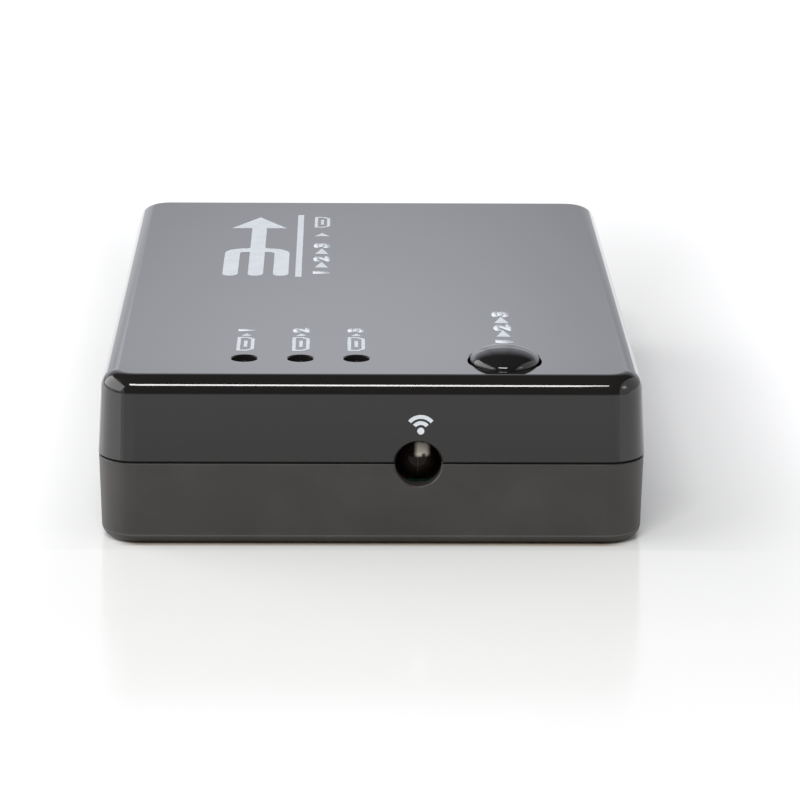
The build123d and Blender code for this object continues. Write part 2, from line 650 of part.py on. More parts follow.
def jack_housing():
    """Moulded housing of the supply jack: square body, round nose and a blind bore."""
    body = block((JACK_NOSE_LENGTH, JACK_LENGTH), around(0, JACK_WIDTH), (0, 2 * PORT_RISE))
    nose = Plane.YZ * Circle(JACK_NOSE_DIAMETER / 2)
    bore = Plane.YZ * Circle(JACK_BORE_DIAMETER / 2)
    body = body + Pos(0, 0, PORT_RISE) * extrude(nose, amount=JACK_NOSE_LENGTH)
    return body - Pos(0, 0, PORT_RISE) * extrude(bore, amount=JACK_BORE_DEPTH)


def jack_pin():
    """Round centre pin of the jack, standing on the floor of the bore."""
    length = JACK_BORE_DEPTH - JACK_PIN_SETBACK
    pin = extrude(Plane.YZ * Circle(JACK_PIN_DIAMETER / 2), amount=length)
    pin = fillet(pin.edges().group_by(Axis.X)[0], JACK_PIN_TIP_RADIUS)
    return Pos(JACK_PIN_SETBACK, 0, PORT_RISE) * pin


def jack_terminals():
    """Two flat terminals, on the back and one side of the jack, that go down into the board."""
    drop = (-BOARD_THICKNESS - LEAD_TAIL, PORT_RISE)
    middle = (JACK_NOSE_LENGTH + JACK_LENGTH) / 2
    side = JACK_WIDTH / 2
    back = block((JACK_LENGTH, JACK_LENGTH + JACK_TERMINAL_SHEET),
                 around(0, JACK_TERMINAL_WIDTH), drop)
    flank = block(around(middle, JACK_TERMINAL_WIDTH), (side, side + JACK_TERMINAL_SHEET), drop)
    return grouped([back, flank])


def lamp_lens():
    """Moulded lamp with a domed tip and a rim at its base, standing on height 0."""
    radius = LAMP_DIAMETER / 2
    rim = LAMP_RIM_DIAMETER / 2
    shoulder = LAMP_HEIGHT - radius
    sides = Polyline((0, LAMP_HEIGHT), (0, 0), (rim, 0), (rim, LAMP_RIM_HEIGHT),
                     (radius, LAMP_RIM_HEIGHT), (radius, shoulder))
    return turned(sides + CenterArc((0, shoulder), radius, 0, QUARTER_TURN))


def lamp_lead(side):
    """One square lead of a lamp, from its base to below the board."""
    across = around(side * LAMP_LEAD_PITCH / 2, LAMP_LEAD_WIDTH)
    return block(across, around(0, LAMP_LEAD_WIDTH), (LEAD_END, LAMP_BASE))


def lamp_leads():
    """Both leads of every lamp."""
    pair = [lamp_lead(side) for side in (-1, 1)]
    return grouped(Pos(x, y, 0) * lead for x, y in lamp_places() for lead in pair)


def lamp_spacers():
    """Moulded spacers that hold the lamps up to the roof, each with a bore for two leads."""
    spacer = rod(0, 0, SPACER_DIAMETER, BOARD_TOP, LAMP_BASE)
    width = LAMP_LEAD_WIDTH + 2 * SPACER_BORE_GAP
    for side in (-1, 1):
        spacer -= block(around(side * LAMP_LEAD_PITCH / 2, width), around(0, width),
                        (BOARD_BOTTOM, LAMP_BASE + CUT_OVERRUN))
    return grouped(Pos(x, y, 0) * spacer for x, y in lamp_places())


def select_button():
    """Domed oval cap: a turned cap stretched along Y, with a stem and cross ribs inside."""
    flange_bottom = BUTTON_FLANGE_TOP - BUTTON_FLANGE_THICKNESS
    ceiling = BOX_HEIGHT - BUTTON_CROWN_WALL
    hollow = BUTTON_RADIUS - BUTTON_WALL
    flange = BUTTON_RADIUS + BUTTON_FLANGE
    sides = Polyline((BUTTON_RADIUS, BOX_HEIGHT), (BUTTON_RADIUS, BUTTON_FLANGE_TOP),
                     (flange, BUTTON_FLANGE_TOP), (flange, flange_bottom),
                     (hollow, flange_bottom), (hollow, ceiling), (0, ceiling),
                     (0, BOX_HEIGHT + BUTTON_DOME_HEIGHT))
    dome = EllipticalCenterArc((0, BOX_HEIGHT), BUTTON_RADIUS, BUTTON_DOME_HEIGHT,
                               start_angle=0, arc_size=QUARTER_TURN)
    cap = scale(turned(sides + dome), by=(1, BUTTON_STRETCH, 1))
    stem = rod(0, 0, BUTTON_STEM_DIAMETER, SWITCH_TOP + STEM_GAP, BOX_HEIGHT)
    reach = 2 * hollow + BUTTON_WALL
    thin = around(0, BUTTON_RIB_WALL)
    across = block(around(0, reach), thin, (flange_bottom, BOX_HEIGHT))
    along = block(thin, around(0, reach * BUTTON_STRETCH), (flange_bottom, BOX_HEIGHT))
    return Pos(BUTTON_X, BUTTON_Y, 0) * (cap + stem + across + along)


def peg_places():
    """Centres of the four pegs that hold the push switch's cover down."""
    reach = SWITCH_WIDTH / 2 - PEG_FROM_SIDE
    return [(x, y) for x in (-reach, reach) for y in (-reach, reach)]


def on_switch(piece):
    """Carries a piece of the push switch to its place under the button."""
    return Pos(BUTTON_X, BUTTON_Y, 0) * piece


def tact_base():
    """Moulded base of the push switch: a well for the plunger, pegs at the corners."""
    base = block(around(0, SWITCH_WIDTH), around(0, SWITCH_WIDTH), (BOARD_TOP, SWITCH_BASE_TOP))
    base = chamfer(base.edges().filter_by(Axis.Z), SWITCH_CORNER_CHAMFER)
    base -= rod(0, 0, 2 * WELL_RADIUS, WELL_FLOOR, SWITCH_BASE_TOP + CUT_OVERRUN)
    cover_top = SWITCH_BASE_TOP + SWITCH_COVER_SHEET
    return on_switch(base + [rod(x, y, PEG_DIAMETER, SWITCH_BASE_TOP, cover_top)
                             for x, y in peg_places()])


def tact_cover():
    """Sheet cover of the push switch, with holes for the plunger and the pegs."""
    cover_top = SWITCH_BASE_TOP + SWITCH_COVER_SHEET
    cover = block(around(0, SWITCH_WIDTH), around(0, SWITCH_WIDTH), (SWITCH_BASE_TOP, cover_top))
    cover = chamfer(cover.edges().filter_by(Axis.Z), SWITCH_CORNER_CHAMFER)
    holes = [rod(x, y, PEG_DIAMETER + 2 * PEG_GAP, SWITCH_BASE_TOP, cover_top)
             for x, y in peg_places()]
    holes.append(rod(0, 0, PLUNGER_DIAMETER + 2 * PLUNGER_GAP, SWITCH_BASE_TOP, cover_top))
    return on_switch(cover - holes)


def tact_plunger():
    """Plunger of the push switch, held under the cover by its shoulder."""
    shoulder = rod(0, 0, PLUNGER_SHOULDER_DIAMETER, SHOULDER_BOTTOM, SHOULDER_TOP)
    stub = rod(0, 0, PLUNGER_DIAMETER, SHOULDER_TOP, SWITCH_TOP)
    stub = chamfer(stub.edges().group_by(Axis.Z)[-1], PLUNGER_EDGE_CHAMFER)
    return on_switch(shoulder + stub)


def tact_disc():
    """Domed snap disc under the plunger, which clicks and pushes the button back up."""
    reach = PLUNGER_SHOULDER_DIAMETER / 2
    ball = (reach ** 2 + SNAP_DISC_RISE ** 2) / (2 * SNAP_DISC_RISE)
    crown = WELL_FLOOR + SNAP_DISC_RISE
    outer = Pos(0, 0, crown - ball) * Sphere(ball)
    inner = Pos(0, 0, crown - ball) * Sphere(ball - SNAP_DISC_SHEET)
    return on_switch((outer - inner) & rod(0, 0, 2 * reach, WELL_FLOOR, crown))


def tact_legs():
    """Four bent legs of the push switch, down its sides and into the board."""
    side = SWITCH_WIDTH / 2
    drop = (LEAD_END, BOARD_TOP + SWITCH_LEG_HEIGHT)
    right = (side, side + SWITCH_LEG_SHEET)
    left = (-side - SWITCH_LEG_SHEET, -side)
    return grouped(on_switch(block(span, around(y, SWITCH_LEG_WIDTH), drop))
                   for span in (left, right) for y in steps(2, SWITCH_LEG_SPREAD))


def ir_receiver():
    """Moulded receiver with a round domed lens on its front face."""
    body = block(around(0, RECEIVER_WIDTH), (RECEIVER_FRONT, RECEIVER_FRONT + RECEIVER_DEPTH),
                 (BOARD_TOP, BOARD_TOP + RECEIVER_HEIGHT))
    body = chamfer(body.edges().filter_by(Axis.Z), RECEIVER_EDGE_CHAMFER)
    radius = RECEIVER_LENS_DIAMETER / 2
    sides = Polyline((0, RECEIVER_LENS_NECK + RECEIVER_LENS_DOME), (0, 0), (radius, 0),
                     (radius, RECEIVER_LENS_NECK))
    ball = (radius ** 2 + RECEIVER_LENS_DOME ** 2) / (2 * RECEIVER_LENS_DOME)
    dome = RadiusArc((radius, RECEIVER_LENS_NECK),
                     (0, RECEIVER_LENS_NECK + RECEIVER_LENS_DOME), -ball)
    lens = Pos(0, RECEIVER_FRONT, JOINT_HEIGHT) * Rot(90, 0, 0) * turned(sides + dome)
    return Pos(RECEIVER_X, 0, 0) * (body + lens)


def ir_receiver_leads():
    """The receiver's three square leads, from its underside to below the board."""
    along = around(RECEIVER_FRONT + RECEIVER_DEPTH / 2, RECEIVER_LEAD_WIDTH)
    return grouped(block(around(RECEIVER_X + x, RECEIVER_LEAD_WIDTH), along,
                         (LEAD_END, BOARD_TOP))
                   for x in steps(RECEIVER_LEAD_COUNT, RECEIVER_LEAD_PITCH))


def chip_body(width, depth, height):
    """Moulded chip body with chamfered edges and a round mark by its first lead."""
    low = BOARD_TOP + CHIP_STANDOFF
    high = low + height
    body = block(around(0, width), around(0, depth), (low, high))
    body = chamfer(body.edges().filter_by(Axis.Z), CHIP_EDGE_CHAMFER)
    body = chamfer(body.edges().group_by(Axis.Z)[-1], CHIP_EDGE_CHAMFER)
    mark = rod(CHIP_MARK_FROM_SIDE - width / 2, CHIP_MARK_FROM_SIDE - depth / 2,
               CHIP_MARK_DIAMETER, high - CHIP_MARK_DEPTH, high + CUT_OVERRUN)
    return body - mark


def bent_lead(half_depth, height, width):
    """One bent lead on the -Y side of a chip: out of the body, down, and a foot outwards."""
    level = CHIP_STANDOFF + height / 2
    sheet = CHIP_LEAD_SHEET
    knee = CHIP_LEAD_SHOULDER
    outline = Polyline((0, level), (knee + sheet, level), (knee + sheet, sheet),
                       (CHIP_LEAD_REACH, sheet), (CHIP_LEAD_REACH, 0), (knee, 0),
                       (knee, level - sheet), (0, level - sheet), close=True)
    lead = extrude(Plane.YZ * make_face(outline), amount=width)
    return Pos(-width / 2, -half_depth, BOARD_TOP) * Rot(0, 0, 180) * Pos(-width, 0, 0) * lead


def lead_row(half_depth, height, width, count, pitch, turn):
    """A row of bent leads on one side of a chip, turned to that side."""
    lead = bent_lead(half_depth, height, width)
    return [Rot(0, 0, turn) * Pos(x, 0, 0) * lead for x in steps(count, pitch)]


def switch_chip_leads():
    """Rows of leads on all four sides of the switching chip."""
    half = SWITCH_CHIP_WIDTH / 2
    rows = []
    for turn in (0, 90, 180, 270):
        rows += lead_row(half, SWITCH_CHIP_HEIGHT, SWITCH_CHIP_LEAD_WIDTH,
                         SWITCH_CHIP_LEAD_COUNT, SWITCH_CHIP_LEAD_PITCH, turn)
    return grouped(Pos(SWITCH_CHIP_X, SWITCH_CHIP_Y, 0) * lead for lead in rows)


def controller_chip_leads():
    """Rows of leads on the two long sides of the controller."""
    half = CONTROLLER_DEPTH / 2
    rows = []
    for turn in (0, 180):
        rows += lead_row(half, CONTROLLER_HEIGHT, CONTROLLER_LEAD_WIDTH,
                         CONTROLLER_LEAD_COUNT, CONTROLLER_LEAD_PITCH, turn)
    return grouped(Pos(CONTROLLER_X, CONTROLLER_Y, 0) * lead for lead in rows)


def regulator_leads():
    """Three leads on one side of the regulator and its wide tab on the other."""
    half = REGULATOR_DEPTH / 2
    rows = lead_row(half, REGULATOR_HEIGHT, REGULATOR_LEAD_WIDTH,
                    REGULATOR_LEAD_COUNT, REGULATOR_LEAD_PITCH, 0)
    rows += lead_row(half, REGULATOR_HEIGHT, REGULATOR_TAB_WIDTH, 1, REGULATOR_LEAD_PITCH, 180)
    return grouped(Pos(REGULATOR_X, REGULATOR_Y, 0) * lead for lead in rows)


def crystal_can():
    """Pressed oval can of the crystal with its welded rim."""
    rim = extrude(SlotOverall(CRYSTAL_LENGTH + 2 * CRYSTAL_RIM, CRYSTAL_WIDTH + 2 * CRYSTAL_RIM),
                  amount=CRYSTAL_RIM)
    can = extrude(SlotOverall(CRYSTAL_LENGTH, CRYSTAL_WIDTH), amount=CRYSTAL_HEIGHT)
    can = chamfer(can.edges().group_by(Axis.Z)[-1], CRYSTAL_EDGE_CHAMFER)
    return Pos(CRYSTAL_X, CRYSTAL_Y, BOARD_TOP) * (rim + can)


def capacitor_places():
    """Centres of the electrolytic capacitors."""
    return [(CAPACITOR_X + x, CAPACITOR_Y) for x in steps(CAPACITOR_COUNT, CAPACITOR_PITCH)]


def capacitor_cans():
    """Round cans of the electrolytic capacitors."""
    low = BOARD_TOP + CAPACITOR_BASE_HEIGHT
    can = rod(0, 0, CAPACITOR_DIAMETER, low, low + CAPACITOR_HEIGHT)
    can = chamfer(can.edges().group_by(Axis.Z)[-1], CAPACITOR_EDGE_CHAMFER)
    return grouped(Pos(x, y, 0) * can for x, y in capacitor_places())


def capacitor_bases():
    """Square moulded bases of the capacitors, two corners cut off to mark the polarity."""
    base = block(around(0, CAPACITOR_BASE_WIDTH), around(0, CAPACITOR_BASE_WIDTH),
                 (BOARD_TOP, BOARD_TOP + CAPACITOR_BASE_HEIGHT))
    marked = base.edges().filter_by(Axis.Z).group_by(Axis.Y)[0]
    base = chamfer(marked, CAPACITOR_BASE_CHAMFER)
    return grouped(Pos(x, y, 0) * base for x, y in capacitor_places())


def chip_part(x, y, height):
    """One small two-ended part that lies along X on the board."""
    return block(around(x, CHIP_PART_LENGTH), around(y, CHIP_PART_WIDTH),
                 (BOARD_TOP, BOARD_TOP + height))


def chip_resistors():
    """Four chip resistors in a row behind each input socket."""
    return grouped(chip_part(RESISTOR_X, y + row, CHIP_RESISTOR_HEIGHT)
                   for y in input_places() for row in steps(CHIP_ROW_COUNT, CHIP_ROW_PITCH))


def chip_capacitors():
    """Chip capacitors in two rows beside the switching chip."""
    beside = SWITCH_CHIP_WIDTH / 2 + CHIP_LEAD_REACH + CHIP_ROW_GAP
    return grouped(chip_part(SWITCH_CHIP_X + x, SWITCH_CHIP_Y + side * beside,
                             CHIP_CAPACITOR_HEIGHT)
                   for side in (-1, 1) for x in steps(CHIP_ROW_COUNT, CHIP_ROW_PITCH))


def moved_chip(x, y, width, depth, height):
    """A chip body at its place on the board."""
    return Pos(x, y, 0) * chip_body(width, depth, height)


def socket_nodes():
    """The three pieces of every video socket, by node name."""
    nodes = {}
    pieces = {"socket_shell": socket_shell(), "socket_insulator": socket_insulator(),
              "socket_contacts": socket_contacts()}
    for name, piece in pieces.items():
        for index, y in enumerate(input_places()):
            nodes[f"{name}_in_{index + 1}"] = on_input_side(piece, y)
        nodes[f"{name}_out"] = on_output_side(piece, OUTPUT_Y)
    return nodes


def lamp_nodes():
    """The lens of every lamp, by node name."""
    lens = lamp_lens()
    return {f"lamp_lens_{index + 1}": Pos(x, y, LAMP_BASE) * lens
            for index, (x, y) in enumerate(lamp_places())}


def all_nodes():
    """Every piece of the box, by node name."""
    nodes = {
        "top_shell": top_shell(),
        "bottom_shell": bottom_shell(),
        "case_screws": case_screws(),
        "select_button": select_button(),
        "tact_base": tact_base(),
        "tact_cover": tact_cover(),
        "tact_plunger": tact_plunger(),
        "tact_disc": tact_disc(),
        "tact_legs": tact_legs(),
        "lamp_leads": lamp_leads(),
        "lamp_spacers": lamp_spacers(),
        "ir_receiver": ir_receiver(),
        "ir_receiver_leads": ir_receiver_leads(),
        "dc_jack_housing": on_output_side(jack_housing(), JACK_Y),
        "dc_jack_pin": on_output_side(jack_pin(), JACK_Y),
        "dc_jack_terminals": on_output_side(jack_terminals(), JACK_Y),
        "switch_chip": moved_chip(SWITCH_CHIP_X, SWITCH_CHIP_Y, SWITCH_CHIP_WIDTH,
                                  SWITCH_CHIP_WIDTH, SWITCH_CHIP_HEIGHT),
        "switch_chip_leads": switch_chip_leads(),
        "controller_chip": moved_chip(CONTROLLER_X, CONTROLLER_Y, CONTROLLER_WIDTH,
                                      CONTROLLER_DEPTH, CONTROLLER_HEIGHT),
        "controller_chip_leads": controller_chip_leads(),
        "regulator": moved_chip(REGULATOR_X, REGULATOR_Y, REGULATOR_WIDTH,
                                REGULATOR_DEPTH, REGULATOR_HEIGHT),
        "regulator_leads": regulator_leads(),
        "crystal_can": crystal_can(),
        "capacitor_cans": capacitor_cans(),
        "capacitor_bases": capacitor_bases(),
        "chip_resistors": chip_resistors(),
        "chip_capacitors": chip_capacitors(),
    }
    nodes.update(socket_nodes())
    nodes.update(lamp_nodes())
    leaded = [name for name in nodes if name.startswith("socket_shell")]
    leaded += ["lamp_leads", "ir_receiver_leads", "tact_legs", "dc_jack_terminals"]
    nodes["circuit_board"] = circuit_board([nodes[name] for name in leaded])
    return nodes


def main():
    """Writes one STEP file for each piece."""
    os.makedirs("parts", exist_ok=True)
    for name, piece in all_nodes().items():
        export_step(piece, f"parts/{name}.step")
        print(name, "solids", len(piece.solids()))


main()
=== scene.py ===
"""Looks of a small video switch box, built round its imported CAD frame.

Lengths are in metres and angles in degrees. +Z is up, the receiver end of the box faces -Y,
the inputs face -X, and the output and the supply jack face +X.
"""

import logging
import math
from dataclasses import dataclass
from enum import Enum
from typing import Any, Callable, Iterable

import bpy
from mathutils import Matrix, Vector


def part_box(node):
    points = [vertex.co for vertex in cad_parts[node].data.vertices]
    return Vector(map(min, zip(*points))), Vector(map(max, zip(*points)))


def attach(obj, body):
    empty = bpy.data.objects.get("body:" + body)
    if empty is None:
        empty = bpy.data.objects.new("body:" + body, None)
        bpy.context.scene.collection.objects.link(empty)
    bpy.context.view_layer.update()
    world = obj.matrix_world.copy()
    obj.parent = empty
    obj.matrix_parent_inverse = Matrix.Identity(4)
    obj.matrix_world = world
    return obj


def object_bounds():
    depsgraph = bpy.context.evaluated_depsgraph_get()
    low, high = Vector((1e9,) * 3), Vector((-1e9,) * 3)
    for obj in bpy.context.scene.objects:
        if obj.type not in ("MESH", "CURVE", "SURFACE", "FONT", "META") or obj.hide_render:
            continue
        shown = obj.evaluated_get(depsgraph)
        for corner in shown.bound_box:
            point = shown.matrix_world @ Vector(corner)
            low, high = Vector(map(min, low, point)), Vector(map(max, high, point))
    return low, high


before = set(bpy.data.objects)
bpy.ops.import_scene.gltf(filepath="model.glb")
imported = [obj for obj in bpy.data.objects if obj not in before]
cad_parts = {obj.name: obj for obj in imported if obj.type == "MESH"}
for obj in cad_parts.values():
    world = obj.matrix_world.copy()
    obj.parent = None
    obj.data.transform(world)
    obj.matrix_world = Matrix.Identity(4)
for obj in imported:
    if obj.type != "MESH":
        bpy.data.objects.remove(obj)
CAD_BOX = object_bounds()
LOG = logging.getLogger("switch_box")

PER_MM = 1000.0

Colour = tuple[float, float, float]
Place = tuple[float, float, float]
Point = tuple[float, float]
Reach = tuple[float, float]  # where a smooth step is 0 and where it is 1


# Shader maths


class Value:
    """A number that varies over a surface: a shader socket that takes part in sums."""

    def __init__(self, tree: "Tree", socket: bpy.types.NodeSocket) -> None:
        """Wraps a socket.

        Args:
            tree: The node tree that holds the socket.
            socket: The output socket that carries the number.
        """
        self.tree = tree
        self.socket = socket

    def _sum(self, operation: str, *terms: Any, clamp: bool = False) -> "Value":
        """Adds one Math node.

        Args:
            operation: The node's operation.
            terms: Its inputs in order, as values or plain numbers.
            clamp: True to hold the result between 0 and 1.

        Returns:
            The node's result.
        """
        settings = {"operation": operation, "use_clamp": clamp}
        node = self.tree.add("ShaderNodeMath", settings, dict(enumerate(terms)))
        return Value(self.tree, node.outputs[0])

    def __add__(self, other: Any) -> "Value":
        """This plus other."""
        return self._sum("ADD", self, other)

    __radd__ = __add__

    def __sub__(self, other: Any) -> "Value":
        """This less other."""
        return self._sum("SUBTRACT", self, other)

    def __rsub__(self, other: Any) -> "Value":
        """Other less this."""
        return self._sum("SUBTRACT", other, self)

    def __mul__(self, other: Any) -> "Value":
        """This times other."""
        return self._sum("MULTIPLY", self, other)

    __rmul__ = __mul__

    def __truediv__(self, other: Any) -> "Value":
        """This over other."""
        return self._sum("DIVIDE", self, other)

    def __rtruediv__(self, other: Any) -> "Value":
        """Other over this."""
        return self._sum("DIVIDE", other, self)

    def __pow__(self, other: Any) -> "Value":
        """This to a power."""
        return self._sum("POWER", self, other)

    def __neg__(self) -> "Value":
        """This with its sign turned."""
        return self._sum("SUBTRACT", 0.0, self)

    def __abs__(self) -> "Value":
        """This without its sign."""
        return self._sum("ABSOLUTE", self)

    def __gt__(self, other: Any) -> "Value":
        """1 where this is over other, else 0."""
        return self._sum("GREATER_THAN", self, other)

    def __lt__(self, other: Any) -> "Value":
        """1 where this is under other, else 0."""
        return self._sum("LESS_THAN", self, other)

    def angle_over(self, other: Any) -> "Value":
        """The angle whose tangent is this over other, in radians."""
        return self._sum("ARCTAN2", self, other)

    def at_least(self, other: Any) -> "Value":
        """The larger of this and other."""
        return self._sum("MAXIMUM", self, other)

    def at_most(self, other: Any) -> "Value":
        """The smaller of this and other."""
        return self._sum("MINIMUM", self, other)

    def repeated(self, pitch: float) -> "Value":
        """This counted again from 0 at each pitch."""
        return self._sum("FLOORED_MODULO", self, pitch)

    def rise(self, low: float, high: float) -> "Value":
        """A smooth step.

        Args:
            low: Where it is 0.
            high: Where it is 1. It may be under low, for a step down.

        Returns:
            The step's value, from 0 to 1.
        """
        share = self._sum("MULTIPLY", self - low, 1.0 / (high - low), clamp=True)
        return share * share * (3.0 - 2.0 * share)


class Tree:
    """The node tree of a material or of the world, filled through one method."""

    def __init__(self, tree: bpy.types.NodeTree) -> None:
        """Empties the tree.

        Args:
            tree: The material's or the world's tree.
        """
        self.tree = tree
        self.tree.nodes.clear()

    def add(self, kind: str, settings: dict[str, Any] | None = None,
            sockets: dict[Any, Any] | None = None) -> bpy.types.Node:
        """Adds one node.

        Args:
            kind: The node's type.
            settings: Its own settings, set first.
            sockets: Values or links of its sockets, by name or number.

        Returns:
            The node.
        """
        node = self.tree.nodes.new(kind)
        for key, setting in (settings or {}).items():
            setattr(node, key, setting)
        for key, given in (sockets or {}).items():
            given = given.socket if isinstance(given, Value) else given
            if isinstance(given, bpy.types.NodeSocket):
                self.tree.links.new(given, node.inputs[key])
            else:
                node.inputs[key].default_value = given
        return node


class Recipe(Tree):
    """One material's node tree, and the few kinds of node that the finishes use."""

    def __init__(self, name: str) -> None:
        """Starts an empty material.

        Args:
            name: The finish's name.
        """
        self.material = bpy.data.materials.new(name)
        self.material.use_nodes = True
        super().__init__(self.material.node_tree)

    def place(self, stretch: Place = (1.0, 1.0, 1.0)) -> bpy.types.NodeSocket:
        """Object coordinates in millimetres.

        Args:
            stretch: How many times finer a pattern is along each axis.

        Returns:
            The coordinates' socket.
        """
        source = self.add("ShaderNodeTexCoord").outputs["Object"]
        scaled = self.add("ShaderNodeVectorMath", {"operation": "MULTIPLY"},
                          {0: source, 1: tuple(PER_MM * share for share in stretch)})
        return scaled.outputs[0]

    def axes(self, place: bpy.types.NodeSocket) -> tuple[Value, Value, Value]:
        """The three numbers of a place or direction."""
        parts = self.add("ShaderNodeSeparateXYZ", None, {0: place})
        return tuple(Value(self, output) for output in parts.outputs)

    def facing(self) -> tuple[Value, Value, Value]:
        """The three numbers of the surface's own direction."""
        return self.axes(self.add("ShaderNodeTexCoord").outputs["Normal"])

    def noise(self, place: bpy.types.NodeSocket, grain: float, detail: float = 2.0,
              roughness: float = 0.5) -> Value:
        """Soft noise from 0 to 1.

        Args:
            place: Coordinates in millimetres.
            grain: The noise's size in millimetres.
            detail: How many finer layers it has.
            roughness: How strong these are.

        Returns:
            The noise.
        """
        node = self.add("ShaderNodeTexNoise", None,
                        {"Vector": place, "Scale": 1.0 / grain, "Detail": detail,
                         "Roughness": roughness})
        return Value(self, node.outputs[0])

    def specks(self, place: bpy.types.NodeSocket, spacing: float, radius: float,
               kept: float) -> Value:
        """Small round dots, scattered evenly.

        Args:
            place: Coordinates in millimetres.
            spacing: The mean distance between cells in millimetres.
            radius: The largest dot's radius in millimetres.
            kept: The share of cells that hold a dot.

        Returns:
            1 in a dot and 0 elsewhere.
        """
        node = self.add("ShaderNodeTexVoronoi", None, {"Vector": place, "Scale": 1.0 / spacing})
        chance = self.axes(node.outputs["Color"])
        near = Value(self, node.outputs["Distance"])
        return (near < chance[1] * (radius / spacing)) * (chance[0] < kept)

    def mix(self, share: Any, first: Any, second: Any) -> bpy.types.NodeSocket:
        """Mixes two colours.

        Args:
            share: How much of the second colour shows.
            first: A colour or its socket.
            second: A colour or its socket.

        Returns:
            The mixed colour's socket.
        """
        ends = [(*end, 1.0) if isinstance(end, tuple) else end for end in (first, second)]
        node = self.add("ShaderNodeMix", {"data_type": "RGBA"},
                        {0: share, 6: ends[0], 7: ends[1]})
        return node.outputs[2]

    def relief(self, height: Value, depth: float) -> bpy.types.NodeSocket:
        """Turns the surface's direction by a height.

        Args:
            height: The height, from 0 to 1.
            depth: How deep a height of 1 is, in metres.

        Returns:
            The direction's socket.
        """
        node = self.add("ShaderNodeBump", None,
                        {"Height": height, "Strength": 1.0, "Distance": depth})
        return node.outputs[0]

    def finish(self, colour: Any, roughness: Any, **sockets: Any) -> bpy.types.Material:
        """Closes the material with one Principled shader.

        Args:
            colour: Base colour or its socket.
            roughness: Roughness or its value.
            sockets: Further sockets, with underscores for the spaces in their names.

        Returns:
            The material.
        """
        colour = (*colour, 1.0) if isinstance(colour, tuple) else colour
        named = {key.replace("_", " "): given for key, given in sockets.items()}
        named = {("IOR" if key == "ior" else key): given for key, given in named.items()}
        shader = self.add("ShaderNodeBsdfPrincipled", None,
                          {"Base Color": colour, "Roughness": roughness, **named})
        return self.close(shader.outputs[0])

    def close(self, shader: bpy.types.NodeSocket) -> bpy.types.Material:
        """Sends a shader to the material's output."""
        self.add("ShaderNodeOutputMaterial", None, {"Surface": shader})
        return self.material


# Finishes


@dataclass(frozen=True)
class GlossMoulding:
    """Polished black plastic with faint sink marks, smears and a few specks of dust."""

    name: str
    colour: Colour = (0.0135, 0.0122, 0.0118)
    dust: Colour = (0.30, 0.29, 0.28)
    dust_spacing: float = 4.2
    dust_radius: float = 0.075
    dust_share: float = 0.16
    dust_dull: float = 0.4
    polish: float = 0.045
    smear: float = 0.05
    smear_size: float = 14.0
    sink: float = 0.000012
    sink_size: float = 22.0
    ior: float = 1.52
    rim_depth: float = 0.00014
    rim_facing: float = 0.9

    def material(self, roof: float) -> bpy.types.Material:
        """Builds the material.

        Args:
            roof: The height of the level face whose hole rims are too fine to catch light.

        Returns:
            The material.
        """
        recipe = Recipe(self.name)
        place = recipe.place()
        smears = recipe.noise(place, self.smear_size, 5.0, 0.6)
        dots = recipe.specks(place, self.dust_spacing, self.dust_radius, self.dust_share)
        waves = recipe.noise(place, self.sink_size, 1.0)
        colour = recipe.mix(dots, self.colour, self.dust)
        roughness = self.polish + self.smear * smears * smears + self.dust_dull * dots
        high = recipe.axes(place)[2] > (roof - self.rim_depth) * PER_MM
        rim = high * (recipe.facing()[2] < self.rim_facing)
        normal = recipe.mix(rim, recipe.relief(waves, self.sink), (0.0, 0.0, 1.0))
        return recipe.finish(colour, roughness, ior=self.ior, Normal=normal)


@dataclass(frozen=True)
class SatinMoulding:
    """Black plastic from a spark-eroded mould: a fine even grain that dulls the gloss.

    Where its line height isn't 0, a fine lighter line, a painted highlight, goes round the piece at
    that height.
    """

    name: str
    colour: Colour = (0.0290, 0.0270, 0.0252)
    worn: Colour = (0.040, 0.0375, 0.035)
    witness_height: float = 0.0
    witness: Colour = (0.090, 0.087, 0.083)
    witness_reach: Reach = (0.13, 0.05)
    roughness: float = 0.34
    cloud_dull: float = 0.10
    cloud_size: float = 9.0
    cloud_reach: Reach = (0.35, 0.75)
    grain: float = 0.22
    grain_dull: float = 0.08
    depth: float = 0.000004
    ior: float = 1.5

    def material(self) -> bpy.types.Material:
        """Builds the material.

        Returns:
            The material.
        """
        recipe = Recipe(self.name)
        place = recipe.place()
        grain = recipe.noise(place, self.grain, 2.0, 0.7)
        cloud = recipe.noise(place, self.cloud_size, 3.0)
        colour = recipe.mix(cloud.rise(*self.cloud_reach), self.colour, self.worn)
        # A fine lighter line at one height: a painted highlight where light catches the start of
        # the fillet.
        if self.witness_height:
            height = abs(recipe.axes(place)[2] - self.witness_height * PER_MM)
            near = height.rise(*self.witness_reach)
            colour = recipe.mix(near * (0.4 + 0.6 * cloud), colour, self.witness)
        roughness = self.roughness + self.cloud_dull * cloud + self.grain_dull * grain
        return recipe.finish(colour, roughness, ior=self.ior,
                             Normal=recipe.relief(grain, self.depth))


